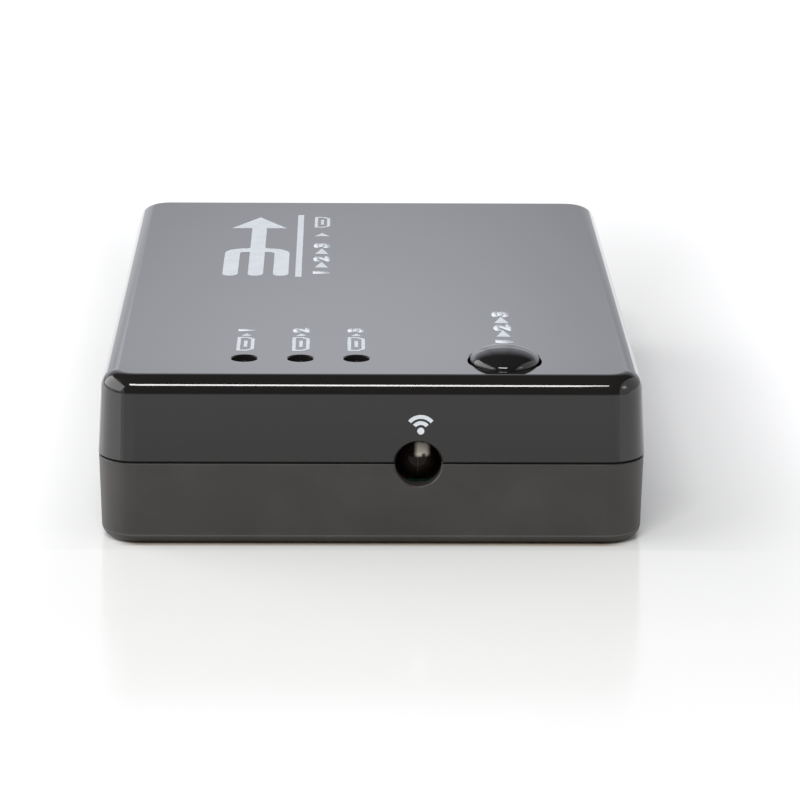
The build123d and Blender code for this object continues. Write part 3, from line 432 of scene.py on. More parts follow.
@dataclass(frozen=True)
class PlatedSheet:
    """Bright plated sheet metal with rolling lines along one axis and small stains."""

    name: str
    colour: Colour = (0.66, 0.65, 0.62)
    stain: Colour = (0.50, 0.48, 0.44)
    along: Place = (0.15, 1.0, 1.0)
    roughness: float = 0.26
    depth: float = 0.0000015
    line_size: float = 0.16
    line_dull: float = 0.14
    stain_size: float = 2.4
    stain_reach: Reach = (0.5, 0.72)
    stain_dull: float = 0.12

    def material(self) -> bpy.types.Material:
        """Builds the material.

        Returns:
            The material.
        """
        recipe = Recipe(self.name)
        lines = recipe.noise(recipe.place(self.along), self.line_size, 3.0, 0.6)
        stains = recipe.noise(recipe.place(), self.stain_size, 4.0, 0.6).rise(*self.stain_reach)
        colour = recipe.mix(stains, self.colour, self.stain)
        roughness = self.roughness + self.line_dull * lines + self.stain_dull * stains
        return recipe.finish(colour, roughness, Metallic=1.0,
                             Normal=recipe.relief(lines, self.depth))


@dataclass(frozen=True)
class LampEpoxy:
    """Smoky red epoxy of an unlit lamp, darker towards its base."""

    name: str
    colour: Colour
    base: Colour
    low: float
    high: float
    polish: float = 0.10
    cloud_size: float = 0.5
    ior: float = 1.53

    def material(self) -> bpy.types.Material:
        """Builds the material.

        Returns:
            The material.
        """
        recipe = Recipe(self.name)
        place = recipe.place()
        height = recipe.axes(place)[2]
        cloud = recipe.noise(place, self.cloud_size, 2.0)
        share = height.rise(self.low * PER_MM, self.high * PER_MM) * (0.8 + 0.2 * cloud)
        colour = recipe.mix(share, self.base, self.colour)
        return recipe.finish(colour, self.polish + 0.10 * cloud, ior=self.ior)


@dataclass(frozen=True)
class ReceiverEpoxy:
    """Polished dark epoxy, with a pale painted reflection of a lamp on the front of the lens."""

    name: str
    middle: Point
    carrier_middle: Point
    carrier_half: Point
    colour: Colour = (0.0110, 0.0075, 0.0060)
    carrier: Colour = (0.90, 0.84, 0.73)
    carrier_side_edge: Reach = (0.34, -0.30)
    carrier_height_edge: Reach = (0.30, -0.16)
    notch_shift: float = 0.15
    notch_side_edge: Reach = (0.28, 0.12)
    notch_height_edge: Reach = (0.34, 0.12)
    seam: Colour = (0.05, 0.045, 0.04)
    seam_edge: Reach = (0.10, 0.02)
    front_facing: float = -0.2
    polish: float = 0.06
    frost_size: float = 0.35
    ior: float = 1.22

    def material(self) -> bpy.types.Material:
        """Builds the material.

        Returns:
            The material.
        """
        recipe = Recipe(self.name)
        place = recipe.place()
        across, _, up = recipe.axes(place)
        frost = recipe.noise(place, self.frost_size, 3.0, 0.6)
        # The pale patch, with a dark notch at its lower edge, is a painted reflection on the lens
        # front.
        sides = abs(across - self.carrier_middle[0] * PER_MM) + 0.12 * frost
        height = abs(up - self.carrier_middle[1] * PER_MM) + 0.12 * frost
        half_x, half_z = (half * PER_MM for half in self.carrier_half)
        patch = sides.rise(*(half_x + edge for edge in self.carrier_side_edge))
        patch = patch * height.rise(*(half_z + edge for edge in self.carrier_height_edge))
        notch_x = abs(across - (self.carrier_middle[0] * PER_MM + self.notch_shift))
        notch_z = abs(up - (self.carrier_middle[1] - self.carrier_half[1]) * PER_MM)
        notch = notch_x.rise(*self.notch_side_edge) * notch_z.rise(*self.notch_height_edge)
        front = recipe.facing()[1] < self.front_facing
        shown = patch * (1.0 - 0.9 * notch) * front * (0.72 + 0.4 * frost)
        seam = abs(across - self.middle[0] * PER_MM).rise(*self.seam_edge) * front
        body = recipe.mix(0.45 * seam, self.colour, self.seam)
        colour = recipe.mix(shown, body, self.carrier)
        return recipe.finish(colour, self.polish + 0.05 * frost, ior=self.ior)


@dataclass(frozen=True)
class BoardLaminate:
    """Green solder mask with traces and pads under it, over a tan glass laminate edge."""

    name: str
    mask: Colour = (0.007, 0.036, 0.016)
    trace: Colour = (0.013, 0.066, 0.029)
    laminate: Colour = (0.10, 0.095, 0.050)
    pad: Colour = (0.62, 0.60, 0.55)
    pad_pitch: float = 2.54
    pad_radius: float = 0.42
    pad_share: float = 0.22
    pitch: float = 1.27
    trace_edge: Reach = (0.34, 0.26)
    region_size: float = 11.0
    ground_size: float = 7.0
    ground_from: float = 0.56
    weave_size: float = 0.5
    weave_stretch: Place = (1.0, 1.0, 6.0)
    bare: Colour = (0.004, 0.004, 0.004)
    bare_width: float = 0.0020
    relief: float = 0.00003

    def material(self, front: float) -> bpy.types.Material:
        """Builds the material.

        Args:
            front: Where the board's front edge is, along which shade is painted dark onto the mask.

        Returns:
            The material.
        """
        recipe = Recipe(self.name)
        place = recipe.place()
        across, along, _ = recipe.axes(place)
        region = recipe.noise(place, self.region_size, 0.0) > 0.5
        rows, columns = (abs(axis.repeated(self.pitch) - self.pitch / 2).rise(*self.trace_edge)
                         for axis in (across, along))
        ground = recipe.noise(place, self.ground_size, 1.0) > self.ground_from
        traces = (rows * region + columns * (1.0 - region)).at_least(ground)
        pads = recipe.specks(place, self.pad_pitch, self.pad_radius, self.pad_share)
        edge = abs(recipe.facing()[2]) < 0.5
        weave = recipe.noise(recipe.place(self.weave_stretch), self.weave_size, 2.0)
        face = recipe.mix(pads, recipe.mix(traces, self.mask, self.trace), self.pad)
        side = recipe.mix(0.6 * weave, self.laminate, tuple(0.4 * share for share in self.laminate))
        # A dark band along the front edge: painted shade on the board behind the receiver's hole.
        bare = along.rise(*((front + share * self.bare_width) * PER_MM for share in (1.0, 0.7)))
        colour = recipe.mix(0.7 * bare, recipe.mix(edge, face, side), self.bare)
        height = 0.5 * traces + 0.5 * pads
        return recipe.finish(colour, 0.30 + 0.10 * weave + 0.35 * edge,
                             Metallic=pads * (1.0 - edge),
                             Normal=recipe.relief(height, self.relief))


@dataclass(frozen=True)
class ChipEpoxy:
    """Dark grey filled epoxy with a fine matt bloom."""

    name: str
    colour: Colour = (0.022, 0.022, 0.024)
    bloom: Colour = (0.060, 0.060, 0.062)
    roughness: float = 0.52
    grain_size: float = 0.12
    cloud_size: float = 1.6
    depth: float = 0.000006

    def material(self) -> bpy.types.Material:
        """Builds the material.

        Returns:
            The material.
        """
        recipe = Recipe(self.name)
        place = recipe.place()
        grain = recipe.noise(place, self.grain_size, 3.0, 0.7)
        cloud = recipe.noise(place, self.cloud_size, 2.0)
        colour = recipe.mix(grain.rise(0.4, 0.8), self.colour, self.bloom)
        return recipe.finish(colour, self.roughness + 0.14 * cloud,
                             Normal=recipe.relief(grain, self.depth))


@dataclass(frozen=True)
class ChipParts:
    """Small ceramic bodies with tinned ends, in a row along X."""

    name: str
    body: Colour
    first_middle: float
    pitch: float
    body_half: float = 0.00050
    tin: Colour = (0.70, 0.69, 0.66)
    bloom: Colour = (0.5, 0.5, 0.5)
    roughness: float = 0.34
    grain_size: float = 0.10
    depth: float = 0.000008

    def material(self) -> bpy.types.Material:
        """Builds the material.

        Returns:
            The material.
        """
        recipe = Recipe(self.name)
        place = recipe.place()
        across = recipe.axes(place)[0]
        pitch = self.pitch * PER_MM
        offset = self.first_middle * PER_MM - pitch / 2
        from_middle = abs((across - offset).repeated(pitch) - pitch / 2)
        ends = from_middle > self.body_half * PER_MM
        grain = recipe.noise(place, self.grain_size, 2.0)
        colour = recipe.mix(ends, recipe.mix(0.3 * grain, self.body, self.bloom), self.tin)
        return recipe.finish(colour, self.roughness + 0.18 * grain, Metallic=ends,
                             Normal=recipe.relief(grain, self.depth))


@dataclass(frozen=True)
class CapacitorCan:
    """Drawn aluminium cans whose dark sector on the lid marks one pole."""

    name: str
    middles: tuple[Point, ...]
    radius: float
    colour: Colour = (0.74, 0.75, 0.76)
    sector: Colour = (0.02, 0.02, 0.022)
    sector_edge: Reach = (-0.55, -0.58)
    roughness: float = 0.24
    draw_size: float = 0.25
    draw_stretch: Place = (1.0, 1.0, 0.1)

    def material(self) -> bpy.types.Material:
        """Builds the material.

        Returns:
            The material.
        """
        recipe = Recipe(self.name)
        place = recipe.place()
        across, along, _ = recipe.axes(place)
        radius = self.radius * PER_MM
        marks: Any = 0.0
        for x, y in self.middles:
            from_x, from_y = across - x * PER_MM, along - y * PER_MM
            aside = from_x.rise(*(share * radius for share in self.sector_edge))
            marks = aside * (abs(from_x) < radius) * (abs(from_y) < radius) + marks
        lid = recipe.facing()[2] > 0.8
        draw = recipe.noise(recipe.place(self.draw_stretch), self.draw_size, 3.0)
        sector = marks * lid
        colour = recipe.mix(sector, self.colour, self.sector)
        return recipe.finish(colour, self.roughness + 0.16 * draw + 0.2 * sector,
                             Metallic=1.0 - sector)


@dataclass(frozen=True)
class PrintInk:
    """Matt pale ink, a little thinner and rougher in places, as screen print is."""

    name: str
    colour: Colour = (0.67, 0.71, 0.76)
    thin: Colour = (0.60, 0.64, 0.68)
    thin_reach: Reach = (0.62, 0.40)
    weave_size: float = 0.12
    patch_size: float = 1.8
    roughness: float = 0.42
    depth: float = 0.000003

    def material(self) -> bpy.types.Material:
        """Builds the material.

        Returns:
            The material.
        """
        recipe = Recipe(self.name)
        place = recipe.place()
        weave = recipe.noise(place, self.weave_size, 3.0, 0.65)
        patches = recipe.noise(place, self.patch_size, 2.0)
        cover = (weave * 0.6 + patches * 0.4).rise(*self.thin_reach)
        colour = recipe.mix(cover, self.thin, self.colour)
        return recipe.finish(colour, self.roughness + 0.2 * weave,
                             Normal=recipe.relief(weave, self.depth))


# Mesh helpers


class Heading(Enum):
    """Which way a row of marks reads, as turns about Z."""

    ALONG_Y = 90.0
    ALONG_X = 0.0


def deselect() -> None:
    """Leaves edit mode and deselects every object."""
    if bpy.context.mode != "OBJECT":
        bpy.ops.object.mode_set(mode="OBJECT")
    bpy.ops.object.select_all(action="DESELECT")


def activate(piece: bpy.types.Object) -> None:
    """Makes a piece the only selected and the active one.

    Args:
        piece: The piece.
    """
    deselect()
    piece.select_set(True)
    bpy.context.view_layer.objects.active = piece


def pick(piece: bpy.types.Object, wanted: Callable[[Vector], bool]) -> None:
    """Selects the vertices of a piece that pass a test, and opens it in edit mode.

    Args:
        piece: The piece.
        wanted: The test on a vertex's place.
    """
    activate(piece)
    for item in (*piece.data.polygons, *piece.data.edges):
        item.select = False
    for vertex in piece.data.vertices:
        vertex.select = wanted(vertex.co)
    bpy.ops.object.mode_set(mode="EDIT")
    bpy.ops.mesh.select_mode(type="VERT")


def apply_place(piece: bpy.types.Object) -> None:
    """Puts a piece's place into its mesh."""
    activate(piece)
    bpy.ops.object.transform_apply(location=True, rotation=True, scale=True)


def joined(name: str, pieces: list[bpy.types.Object]) -> bpy.types.Object:
    """Joins several pieces into one.

    Args:
        name: The new piece's name.
        pieces: The pieces.

    Returns:
        The joined piece.
    """
    deselect()
    for piece in pieces:
        piece.select_set(True)
    bpy.context.view_layer.objects.active = pieces[0]
    if len(pieces) > 1:
        bpy.ops.object.join()
    pieces[0].name = pieces[0].data.name = name
    return pieces[0]


def dress(names: Iterable[str], material: bpy.types.Material) -> None:
    """Gives CAD nodes a finish.

    Args:
        names: The nodes' names.
        material: The finish.
    """
    for name in names:
        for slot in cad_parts[name].material_slots:
            slot.material = material


def port_height() -> float:
    """The height of the joint line, where the sockets, jack and receiver have their middle."""
    low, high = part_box("dc_jack_housing")
    return (low.z + high.z) / 2


class Pen:
    """Draws one print stroke: a flat strip, led on by extruding and spinning its end edge."""

    def __init__(self, start: Point, width: float, heading: float = 0.0) -> None:
        """Starts a stroke.

        Args:
            start: Where the stroke's middle line starts.
            width: The stroke's width.
            heading: Its direction, in degrees from +X.
        """
        self.width = width
        self.heading = math.radians(heading)
        self.end = Vector((*start, 0.0))
        deselect()
        bpy.ops.mesh.primitive_plane_add(size=width, location=self.end)
        self.piece = bpy.context.active_object
        apply_place(self.piece)
        pick(self.piece, lambda place: place.x < start[0])
        bpy.ops.mesh.delete(type="VERT")
        bpy.ops.mesh.select_all(action="SELECT")
        bpy.ops.transform.translate(value=(-width / 2, 0.0, 0.0))
        bpy.ops.transform.rotate(value=-self.heading, orient_axis="Z",
                                 center_override=tuple(self.end))

    def forward(self, length: float) -> "Pen":
        """Draws a straight run.

        Args:
            length: The run's length.

        Returns:
            The pen.
        """
        step = Vector((math.cos(self.heading), math.sin(self.heading), 0.0)) * length
        bpy.ops.mesh.extrude_region_move(TRANSFORM_OT_translate={"value": tuple(step)})
        self.end = self.end + step
        return self

    def turn(self, angle: float, radius: float, steps: int = 12) -> "Pen":
        """Draws an arc.

        Args:
            angle: The turn in degrees, anticlockwise if positive.
            radius: The radius of the stroke's middle line.
            steps: How many runs stand for the arc.

        Returns:
            The pen.
        """
        side = math.copysign(1.0, angle)
        centre = self.end + radius * side * Vector((-math.sin(self.heading),
                                                    math.cos(self.heading), 0.0))
        bpy.ops.mesh.spin(steps=steps, angle=-math.radians(angle), center=tuple(centre),
                          axis=(0.0, 0.0, 1.0))
        turned = Matrix.Rotation(math.radians(angle), 3, "Z") @ (self.end - centre)
        self.end = centre + turned
        self.heading += math.radians(angle)
        return self

    def done(self) -> bpy.types.Object:
        """Merges the stroke's doubles.

        Returns:
            The stroke's flat piece.
        """
        bpy.ops.mesh.select_all(action="SELECT")
        bpy.ops.mesh.remove_doubles(threshold=self.width / 100)
        deselect()
        return self.piece


# Printing


@dataclass(frozen=True)
class Layer:
    """The print's thickness, how far it sinks into the plastic, and the step between strokes."""

    film: float = 0.00002
    sunk: float = 0.000006
    lap: float = 0.0000005

    def thicken(self, pieces: list[bpy.types.Object]) -> None:
        """Gives flat strokes a film's thickness, each a hair over the last where they cross.

        Args:
            pieces: The flat strokes.
        """
        for index, piece in enumerate(pieces):
            pick(piece, lambda place: True)
            bpy.ops.mesh.normals_make_consistent(inside=False)
            bpy.ops.transform.translate(value=(0.0, 0.0, -self.sunk))
            rise = self.film + self.sunk + index * self.lap
            bpy.ops.mesh.extrude_region_move(TRANSFORM_OT_translate={"value": (0.0, 0.0, rise)})
            bpy.ops.mesh.select_all(action="SELECT")
            bpy.ops.mesh.normals_make_consistent(inside=False)
            deselect()


def disc(middle: Point, radius: float, corners: int = 32) -> bpy.types.Object:
    """A flat round dot.

    Args:
        middle: Its centre.
        radius: Its radius.
        corners: How many corners its edge has. 3 gives an arrow head that points to +X.

    Returns:
        The flat piece.
    """
    deselect()
    bpy.ops.mesh.primitive_circle_add(vertices=corners, radius=radius, fill_type="NGON",
                                      location=(*middle, 0.0), rotation=(0.0, 0.0, -math.pi / 2))
    piece = bpy.context.active_object
    apply_place(piece)
    return piece


def numeral(text: str, middle: Point, height: float, weight: float = 0.03) -> bpy.types.Object:
    """A plain numeral as a flat mesh.

    Args:
        text: The numeral.
        middle: Its centre.
        height: Its height.
        weight: How far its outline is moved out, as a share of its height.

    Returns:
        The flat piece.
    """
    deselect()
    bpy.ops.object.text_add(location=(0.0, 0.0, 0.0))
    piece = bpy.context.active_object
    piece.data.body = text
    piece.data.size = height
    piece.data.resolution_u = 6
    piece.data.offset = height * weight
    bpy.ops.object.convert(target="MESH")
    piece = bpy.context.active_object
    xs = [vertex.co.x for vertex in piece.data.vertices]
    ys = [vertex.co.y for vertex in piece.data.vertices]
    scale = height / (max(ys) - min(ys))
    centre = Vector(((max(xs) + min(xs)) / 2, (max(ys) + min(ys)) / 2, 0.0))
    activate(piece)
    bpy.ops.object.mode_set(mode="EDIT")
    bpy.ops.mesh.select_all(action="SELECT")
    bpy.ops.transform.translate(value=tuple(-centre))
    bpy.ops.transform.resize(value=(scale, scale, 1.0), center_override=(0.0, 0.0, 0.0))
    bpy.ops.transform.translate(value=(*middle, 0.0))
    bpy.ops.object.mode_set(mode="OBJECT")
    return piece


def widen(pieces: list[bpy.types.Object], share: float) -> list[bpy.types.Object]:
    """Stretches flat pieces along their row.

    Args:
        pieces: The pieces.
        share: How many times wider they become.

    Returns:
        The same pieces.
    """
    for piece in pieces:
        pick(piece, lambda place: True)
        bpy.ops.transform.resize(value=(share, 1.0, 1.0), center_override=(0.0, 0.0, 0.0))
        deselect()
    return pieces


@dataclass(frozen=True)
class SocketSign:
    """A sign for a video socket: its outline, wide at the top, with its tongue inside."""

    length: float = 0.0060
    height: float = 0.0020
    slope: float = 0.0006
    stroke: float = 0.00040
    tongue_share: float = 0.52

    def draw(self, left: float, middle: float) -> list[bpy.types.Object]:
        """Draws the sign.

        Args:
            left: Where its left end is.
            middle: The height of its middle line.

        Returns:
            Its flat pieces.
        """
        inset = self.stroke / 2
        low, high = middle - self.height / 2 + inset, middle + self.height / 2 - inset
        right = left + self.length - inset
        left = left + inset
        corners = [(left, high), (right, high), (right, low + self.slope),
                   (right - self.slope, low), (left + self.slope, low), (left, low + self.slope)]
        pieces = []
        for start, end in zip(corners, corners[1:] + corners[:1]):
            run = Vector(end) - Vector(start)
            pen = Pen(start, self.stroke, math.degrees(math.atan2(run.y, run.x)))
            pieces.append(pen.forward(run.length).done())
            pieces.append(disc(start, self.stroke / 2, 12))
        side = self.length * (1.0 - self.tongue_share) / 2
        tongue = Pen((left + side, (low + high) / 2), self.stroke)
        pieces.append(tongue.forward(self.length * self.tongue_share - self.stroke).done())
        return pieces


@dataclass
class PrintedSigns:
    """Every sign on the case: plain numerals and generic signs in pale ink."""

    ink: PrintInk = PrintInk("pale_ink")
    layer: Layer = Layer()
    socket: SocketSign = SocketSign()
    route_start: Point = (-0.01010, 0.0023)
    route_length: float = 0.0316
    route_height: float = 0.0082
    route_stroke: float = 0.0019
    route_lead_share: float = 0.34
    route_head_share: float = 1.4
    bar_start: Point = (-0.00845, 0.0018)
    bar_length: float = 0.0335
    bar_width: float = 0.00078
    row_start: Point = (-0.00495, 0.0026)
    row_length: float = 0.0316
    row_height: float = 0.0021
    row_numeral_share: float = 0.54
    row_arrow_share: float = 0.52
    step_arrow_share: float = 0.46
    row_stretch: float = 2.0
    row_weight: float = 0.08
    glyph_half: float = 0.34
    lamp_sign_end: float = -0.0329
    lamp_sign_length: float = 0.0101
    lamp_numeral_height: float = 0.0020
    lamp_stretch: float = 1.5
    lamp_arrow_place: float = 0.42
    lamp_arrow_share: float = 0.34
    button_sign_start: Point = (0.01650, -0.0300)
    button_sign_length: float = 0.0152
    button_sign_height: float = 0.0021
    receiver_sign_rise: float = 0.00387
    receiver_sign_shift: float = 0.00025
    receiver_sign_stroke: float = 0.00044
    receiver_sign_dot: float = 0.00040
    receiver_sign_arcs: Point = (0.00093, 0.00164)
    receiver_sign_from: float = 40.0
    receiver_sign_sweep: float = 100.0
    case_lean: float = 3.2

    def lay(self, name: str, pieces: list[bpy.types.Object], origin: Vector,
            heading: Heading, lean: float = 0.0) -> bpy.types.Object:
        """Gives flat pieces a film's thickness and lays them on the case.

        Args:
            name: The sign's name.
            pieces: Its flat pieces, drawn round their own origin.
            origin: Where that origin goes.
            heading: Which way the sign reads.
            lean: Its turn about X, in degrees, for a sign on the upright end.

        Returns:
            The finished sign.
        """
        self.layer.thicken(pieces)
        sign = joined(name, pieces)
        sign.location = origin
        sign.rotation_euler = (math.radians(lean), 0.0, math.radians(heading.value))
        apply_place(sign)
        sign.data.materials.clear()
        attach(sign, "housing")
        return sign

    def build(self) -> list[bpy.types.Object]:
        """Builds every sign and inks them all alike.

        Returns:
            The signs.
        """
        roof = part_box("top_shell")[1].z
        signs = [self.route_sign(roof), self.bar_sign(roof), self.row_sign(roof),
                 self.button_sign(roof), self.receiver_sign(), *self.lamp_signs(roof)]
        ink = self.ink.material()
        for sign in signs:
            sign.data.materials.append(ink)
        return signs

    def route_sign(self, roof: float) -> bpy.types.Object:
        """Three lines that join into one arrow.

        Args:
            roof: The roof's height.

        Returns:
            The sign.
        """
        middle = self.route_height / 2
        half = self.route_stroke / 2
        spread = middle - half
        bend = spread / 2
        lead = self.route_length * self.route_lead_share
        pieces = [disc((half, middle + side * spread), half, 24) for side in (-1, 0, 1)]
        for side in (-1, 1):
            pen = Pen((half, middle + side * spread), self.route_stroke)
            pen.forward(lead).turn(-90.0 * side, bend).turn(90.0 * side, bend)
            pieces.append(pen.forward(self.route_stroke).done())
        head = middle
        shaft = Pen((half, middle), self.route_stroke)
        run = self.route_length - half - self.route_head_share * head
        pieces.append(shaft.forward(run).done())
        pieces.append(disc((self.route_length - head, middle), head, 3))
        origin = Vector((*self.route_start, roof))
        return self.lay("route_sign", pieces, origin, Heading.ALONG_Y)

    def bar_sign(self, roof: float) -> bpy.types.Object:
        """A thin bar beside the route sign.

        Args:
            roof: The roof's height.

        Returns:
            The sign.
        """
        pen = Pen((0.0, self.bar_width / 2), self.bar_width).forward(self.bar_length)
        origin = Vector((*self.bar_start, roof))
        return self.lay("bar_sign", [pen.done()], origin, Heading.ALONG_Y)

    def step_row(self, length: float, height: float) -> list[bpy.types.Object]:
        """The numerals 1, 2 and 3 with arrow heads between them.

        Args:
            length: The row's length.
            height: The numerals' height.

        Returns:
            Its flat pieces.
        """
        pieces = []
        half = self.glyph_half * height
        pitch = (length / self.row_stretch - 2 * half) / 4
        for index in range(3):
            pieces.append(numeral(str(index + 1), (half + 2 * index * pitch, height / 2), height,
                                  self.row_weight))
        for index in (1, 3):
            pieces.append(disc((half + index * pitch, height / 2),
                               height * self.step_arrow_share, 3))
        return widen(pieces, self.row_stretch)

    def row_sign(self, roof: float) -> bpy.types.Object:
        """The row under the bar: numerals, an arrow head and a socket sign.

        Args:
            roof: The roof's height.

        Returns:
            The sign.
        """
        middle = self.row_height / 2
        numerals_length = self.row_length * self.row_numeral_share
        numerals = self.step_row(numerals_length, self.row_height)
        left = self.row_length - self.socket.length
        arrow = disc(((left + numerals_length) / 2, middle),
                     self.row_height * self.row_arrow_share, 3)
        outline = self.socket.draw(left, middle)
        origin = Vector((*self.row_start, roof))
        return self.lay("row_sign", [*numerals, arrow, *outline], origin, Heading.ALONG_Y)

    def lamp_signs(self, roof: float) -> list[bpy.types.Object]:
        """A socket sign, an arrow head and a numeral beside each lamp.

        Args:
            roof: The roof's height.

        Returns:
            The signs.
        """
        signs = []
        half = self.glyph_half * self.lamp_numeral_height * self.lamp_stretch
        right = self.lamp_sign_length - half
        gap = right - half - self.socket.length
        for index in (1, 2, 3):
            low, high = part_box(f"lamp_lens_{index}")
            pieces = self.socket.draw(0.0, 0.0)
            pieces.append(disc((self.socket.length + self.lamp_arrow_place * gap, 0.0),
                               self.lamp_arrow_share * gap, 3))
            digit = numeral(str(index), (right / self.lamp_stretch, 0.0),
                            self.lamp_numeral_height, self.row_weight)
            pieces += widen([digit], self.lamp_stretch)
            origin = Vector(((low.x + high.x) / 2, self.lamp_sign_end, roof))
            signs.append(self.lay(f"lamp_sign_{index}", pieces, origin, Heading.ALONG_Y))
        return signs

    def button_sign(self, roof: float) -> bpy.types.Object:
        """The steps that the button takes, behind its cap.

        Args:
            roof: The roof's height.

        Returns:
            The sign.
        """
        pieces = self.step_row(self.button_sign_length, self.button_sign_height)
        origin = Vector((*self.button_sign_start, roof))
        return self.lay("button_sign", pieces, origin, Heading.ALONG_Y)

    def receiver_sign(self) -> bpy.types.Object:
        """A dot under two arcs, above the receiver's hole.

        Returns:
            The sign.
        """
        low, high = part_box("ir_receiver")
        pieces = [disc((0.0, 0.0), self.receiver_sign_dot, 16)]
        for radius in self.receiver_sign_arcs:
            start = math.radians(self.receiver_sign_from)
            pen = Pen((radius * math.cos(start), radius * math.sin(start)),
                      self.receiver_sign_stroke, self.receiver_sign_from + 90.0)
            pieces.append(pen.turn(self.receiver_sign_sweep, radius).done())
        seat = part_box("top_shell")[0].y + self.receiver_sign_rise * math.tan(
            math.radians(self.case_lean))
        origin = Vector(((low.x + high.x) / 2 + self.receiver_sign_shift, seat,
                         port_height() + self.receiver_sign_rise))
        return self.lay("receiver_sign", pieces, origin, Heading.ALONG_X, 90.0 - self.case_lean)


# Sub-assemblies


class Assembly:
    """A group of CAD nodes that share finishes."""

    def build(self) -> list[str]:
        """Dresses the group's nodes and returns their names."""
        raise NotImplementedError


@dataclass(frozen=True)
class Case(Assembly):
    """Both half-shells and the screws that close them."""

    upper: GlossMoulding = GlossMoulding("case_gloss")
    # The lower shell carries a painted highlight line 1.16 mm up.
    lower: SatinMoulding = SatinMoulding("case_satin", witness_height=0.00116)
    screws: PlatedSheet = PlatedSheet("screw_steel", (0.12, 0.12, 0.125), (0.05, 0.05, 0.05),
                                      (1.0, 1.0, 1.0), 0.36)

    def build(self) -> list[str]:
        """Dresses the shells and the screws.

        Returns:
            The nodes' names.
        """
        dress(["top_shell"], self.upper.material(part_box("top_shell")[1].z))
        dress(["bottom_shell"], self.lower.material())
        dress(["case_screws"], self.screws.material())
        return ["top_shell", "bottom_shell", "case_screws"]


@dataclass(frozen=True)
class SelectKey(Assembly):
    """The button's cap and the push switch under it."""

    cap: GlossMoulding = GlossMoulding("button_gloss", (0.0120, 0.0115, 0.0115), polish=0.03)
    moulding: SatinMoulding = SatinMoulding("switch_moulding", (0.018, 0.018, 0.018))
    cover: PlatedSheet = PlatedSheet("switch_cover")
    spring: PlatedSheet = PlatedSheet("spring_steel", (0.60, 0.59, 0.56))

    def build(self) -> list[str]:
        """Dresses the cap and the push switch.

        Returns:
            The nodes' names.
        """
        dress(["select_button"], self.cap.material(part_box("select_button")[1].z))
        dress(["tact_base", "tact_plunger"], self.moulding.material())
        dress(["tact_cover", "tact_legs"], self.cover.material())
        dress(["tact_disc"], self.spring.material())
        return ["select_button", "tact_base", "tact_plunger", "tact_cover", "tact_legs",
                "tact_disc"]


@dataclass(frozen=True)
class Lamps(Assembly):
    """The indicator lamps on their spacers."""

    lens_colour: Colour = (0.060, 0.010, 0.009)
    base_colour: Colour = (0.020, 0.004, 0.004)
    moulding: SatinMoulding = SatinMoulding("spacer_moulding", (0.016, 0.016, 0.016))
    leads: PlatedSheet = PlatedSheet("lead_tin", (0.70, 0.69, 0.66))

    def build(self) -> list[str]:
        """Dresses the lenses, the spacers and the leads.

        Returns:
            The nodes' names.
        """
        low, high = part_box("lamp_lens_1")
        lens = LampEpoxy("lamp_epoxy", self.lens_colour, self.base_colour, low.z, high.z)
        lenses = [f"lamp_lens_{index}" for index in (1, 2, 3)]
        dress(lenses, lens.material())
        dress(["lamp_spacers"], self.moulding.material())
        dress(["lamp_leads", "ir_receiver_leads"], self.leads.material())
        return [*lenses, "lamp_spacers", "lamp_leads", "ir_receiver_leads"]


@dataclass(frozen=True)
class Receiver(Assembly):
    """The infra-red receiver behind its hole."""

    # Where the painted reflection sits on the lens, from the lens middle, and its half size.
    carrier_shift: Point = (0.00048, 0.00120)
    carrier_half: Point = (0.00074, 0.00070)

    def build(self) -> list[str]:
        """Dresses the receiver.

        Returns:
            The nodes' names.
        """
        low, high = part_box("ir_receiver")
        x, z = (low.x + high.x) / 2, port_height()
        epoxy = ReceiverEpoxy("receiver_epoxy", (x, z),
                              (x + self.carrier_shift[0], z + self.carrier_shift[1]),
                              self.carrier_half)
        dress(["ir_receiver"], epoxy.material())
        return ["ir_receiver"]


@dataclass(frozen=True)
class Ports(Assembly):
    """The video sockets and the supply jack."""

    shell: PlatedSheet = PlatedSheet("socket_steel", (0.60, 0.59, 0.57), (0.46, 0.44, 0.41),
                                     (0.15, 1.0, 1.0), 0.28)
    insulator: SatinMoulding = SatinMoulding("insulator_moulding", (0.014, 0.014, 0.014))
    contacts: PlatedSheet = PlatedSheet("contact_gold", (0.83, 0.60, 0.25), (0.72, 0.48, 0.18),
                                        (0.15, 1.0, 1.0), 0.22)
    terminals: PlatedSheet = PlatedSheet("terminal_tin", (0.70, 0.69, 0.66))

    def build(self) -> list[str]:
        """Dresses the sockets and the jack.

        Returns:
            The nodes' names.
        """
        places = ("in_1", "in_2", "in_3", "out")
        shells = [f"socket_shell_{place}" for place in places]
        insulators = [f"socket_insulator_{place}" for place in places]
        contacts = [f"socket_contacts_{place}" for place in places]
        dress(shells, self.shell.material())
        dress([*insulators, "dc_jack_housing"], self.insulator.material())
        dress([*contacts, "dc_jack_pin"], self.contacts.material())
        dress(["dc_jack_terminals"], self.terminals.material())
        return [*shells, *insulators, *contacts, "dc_jack_housing", "dc_jack_pin",
                "dc_jack_terminals"]


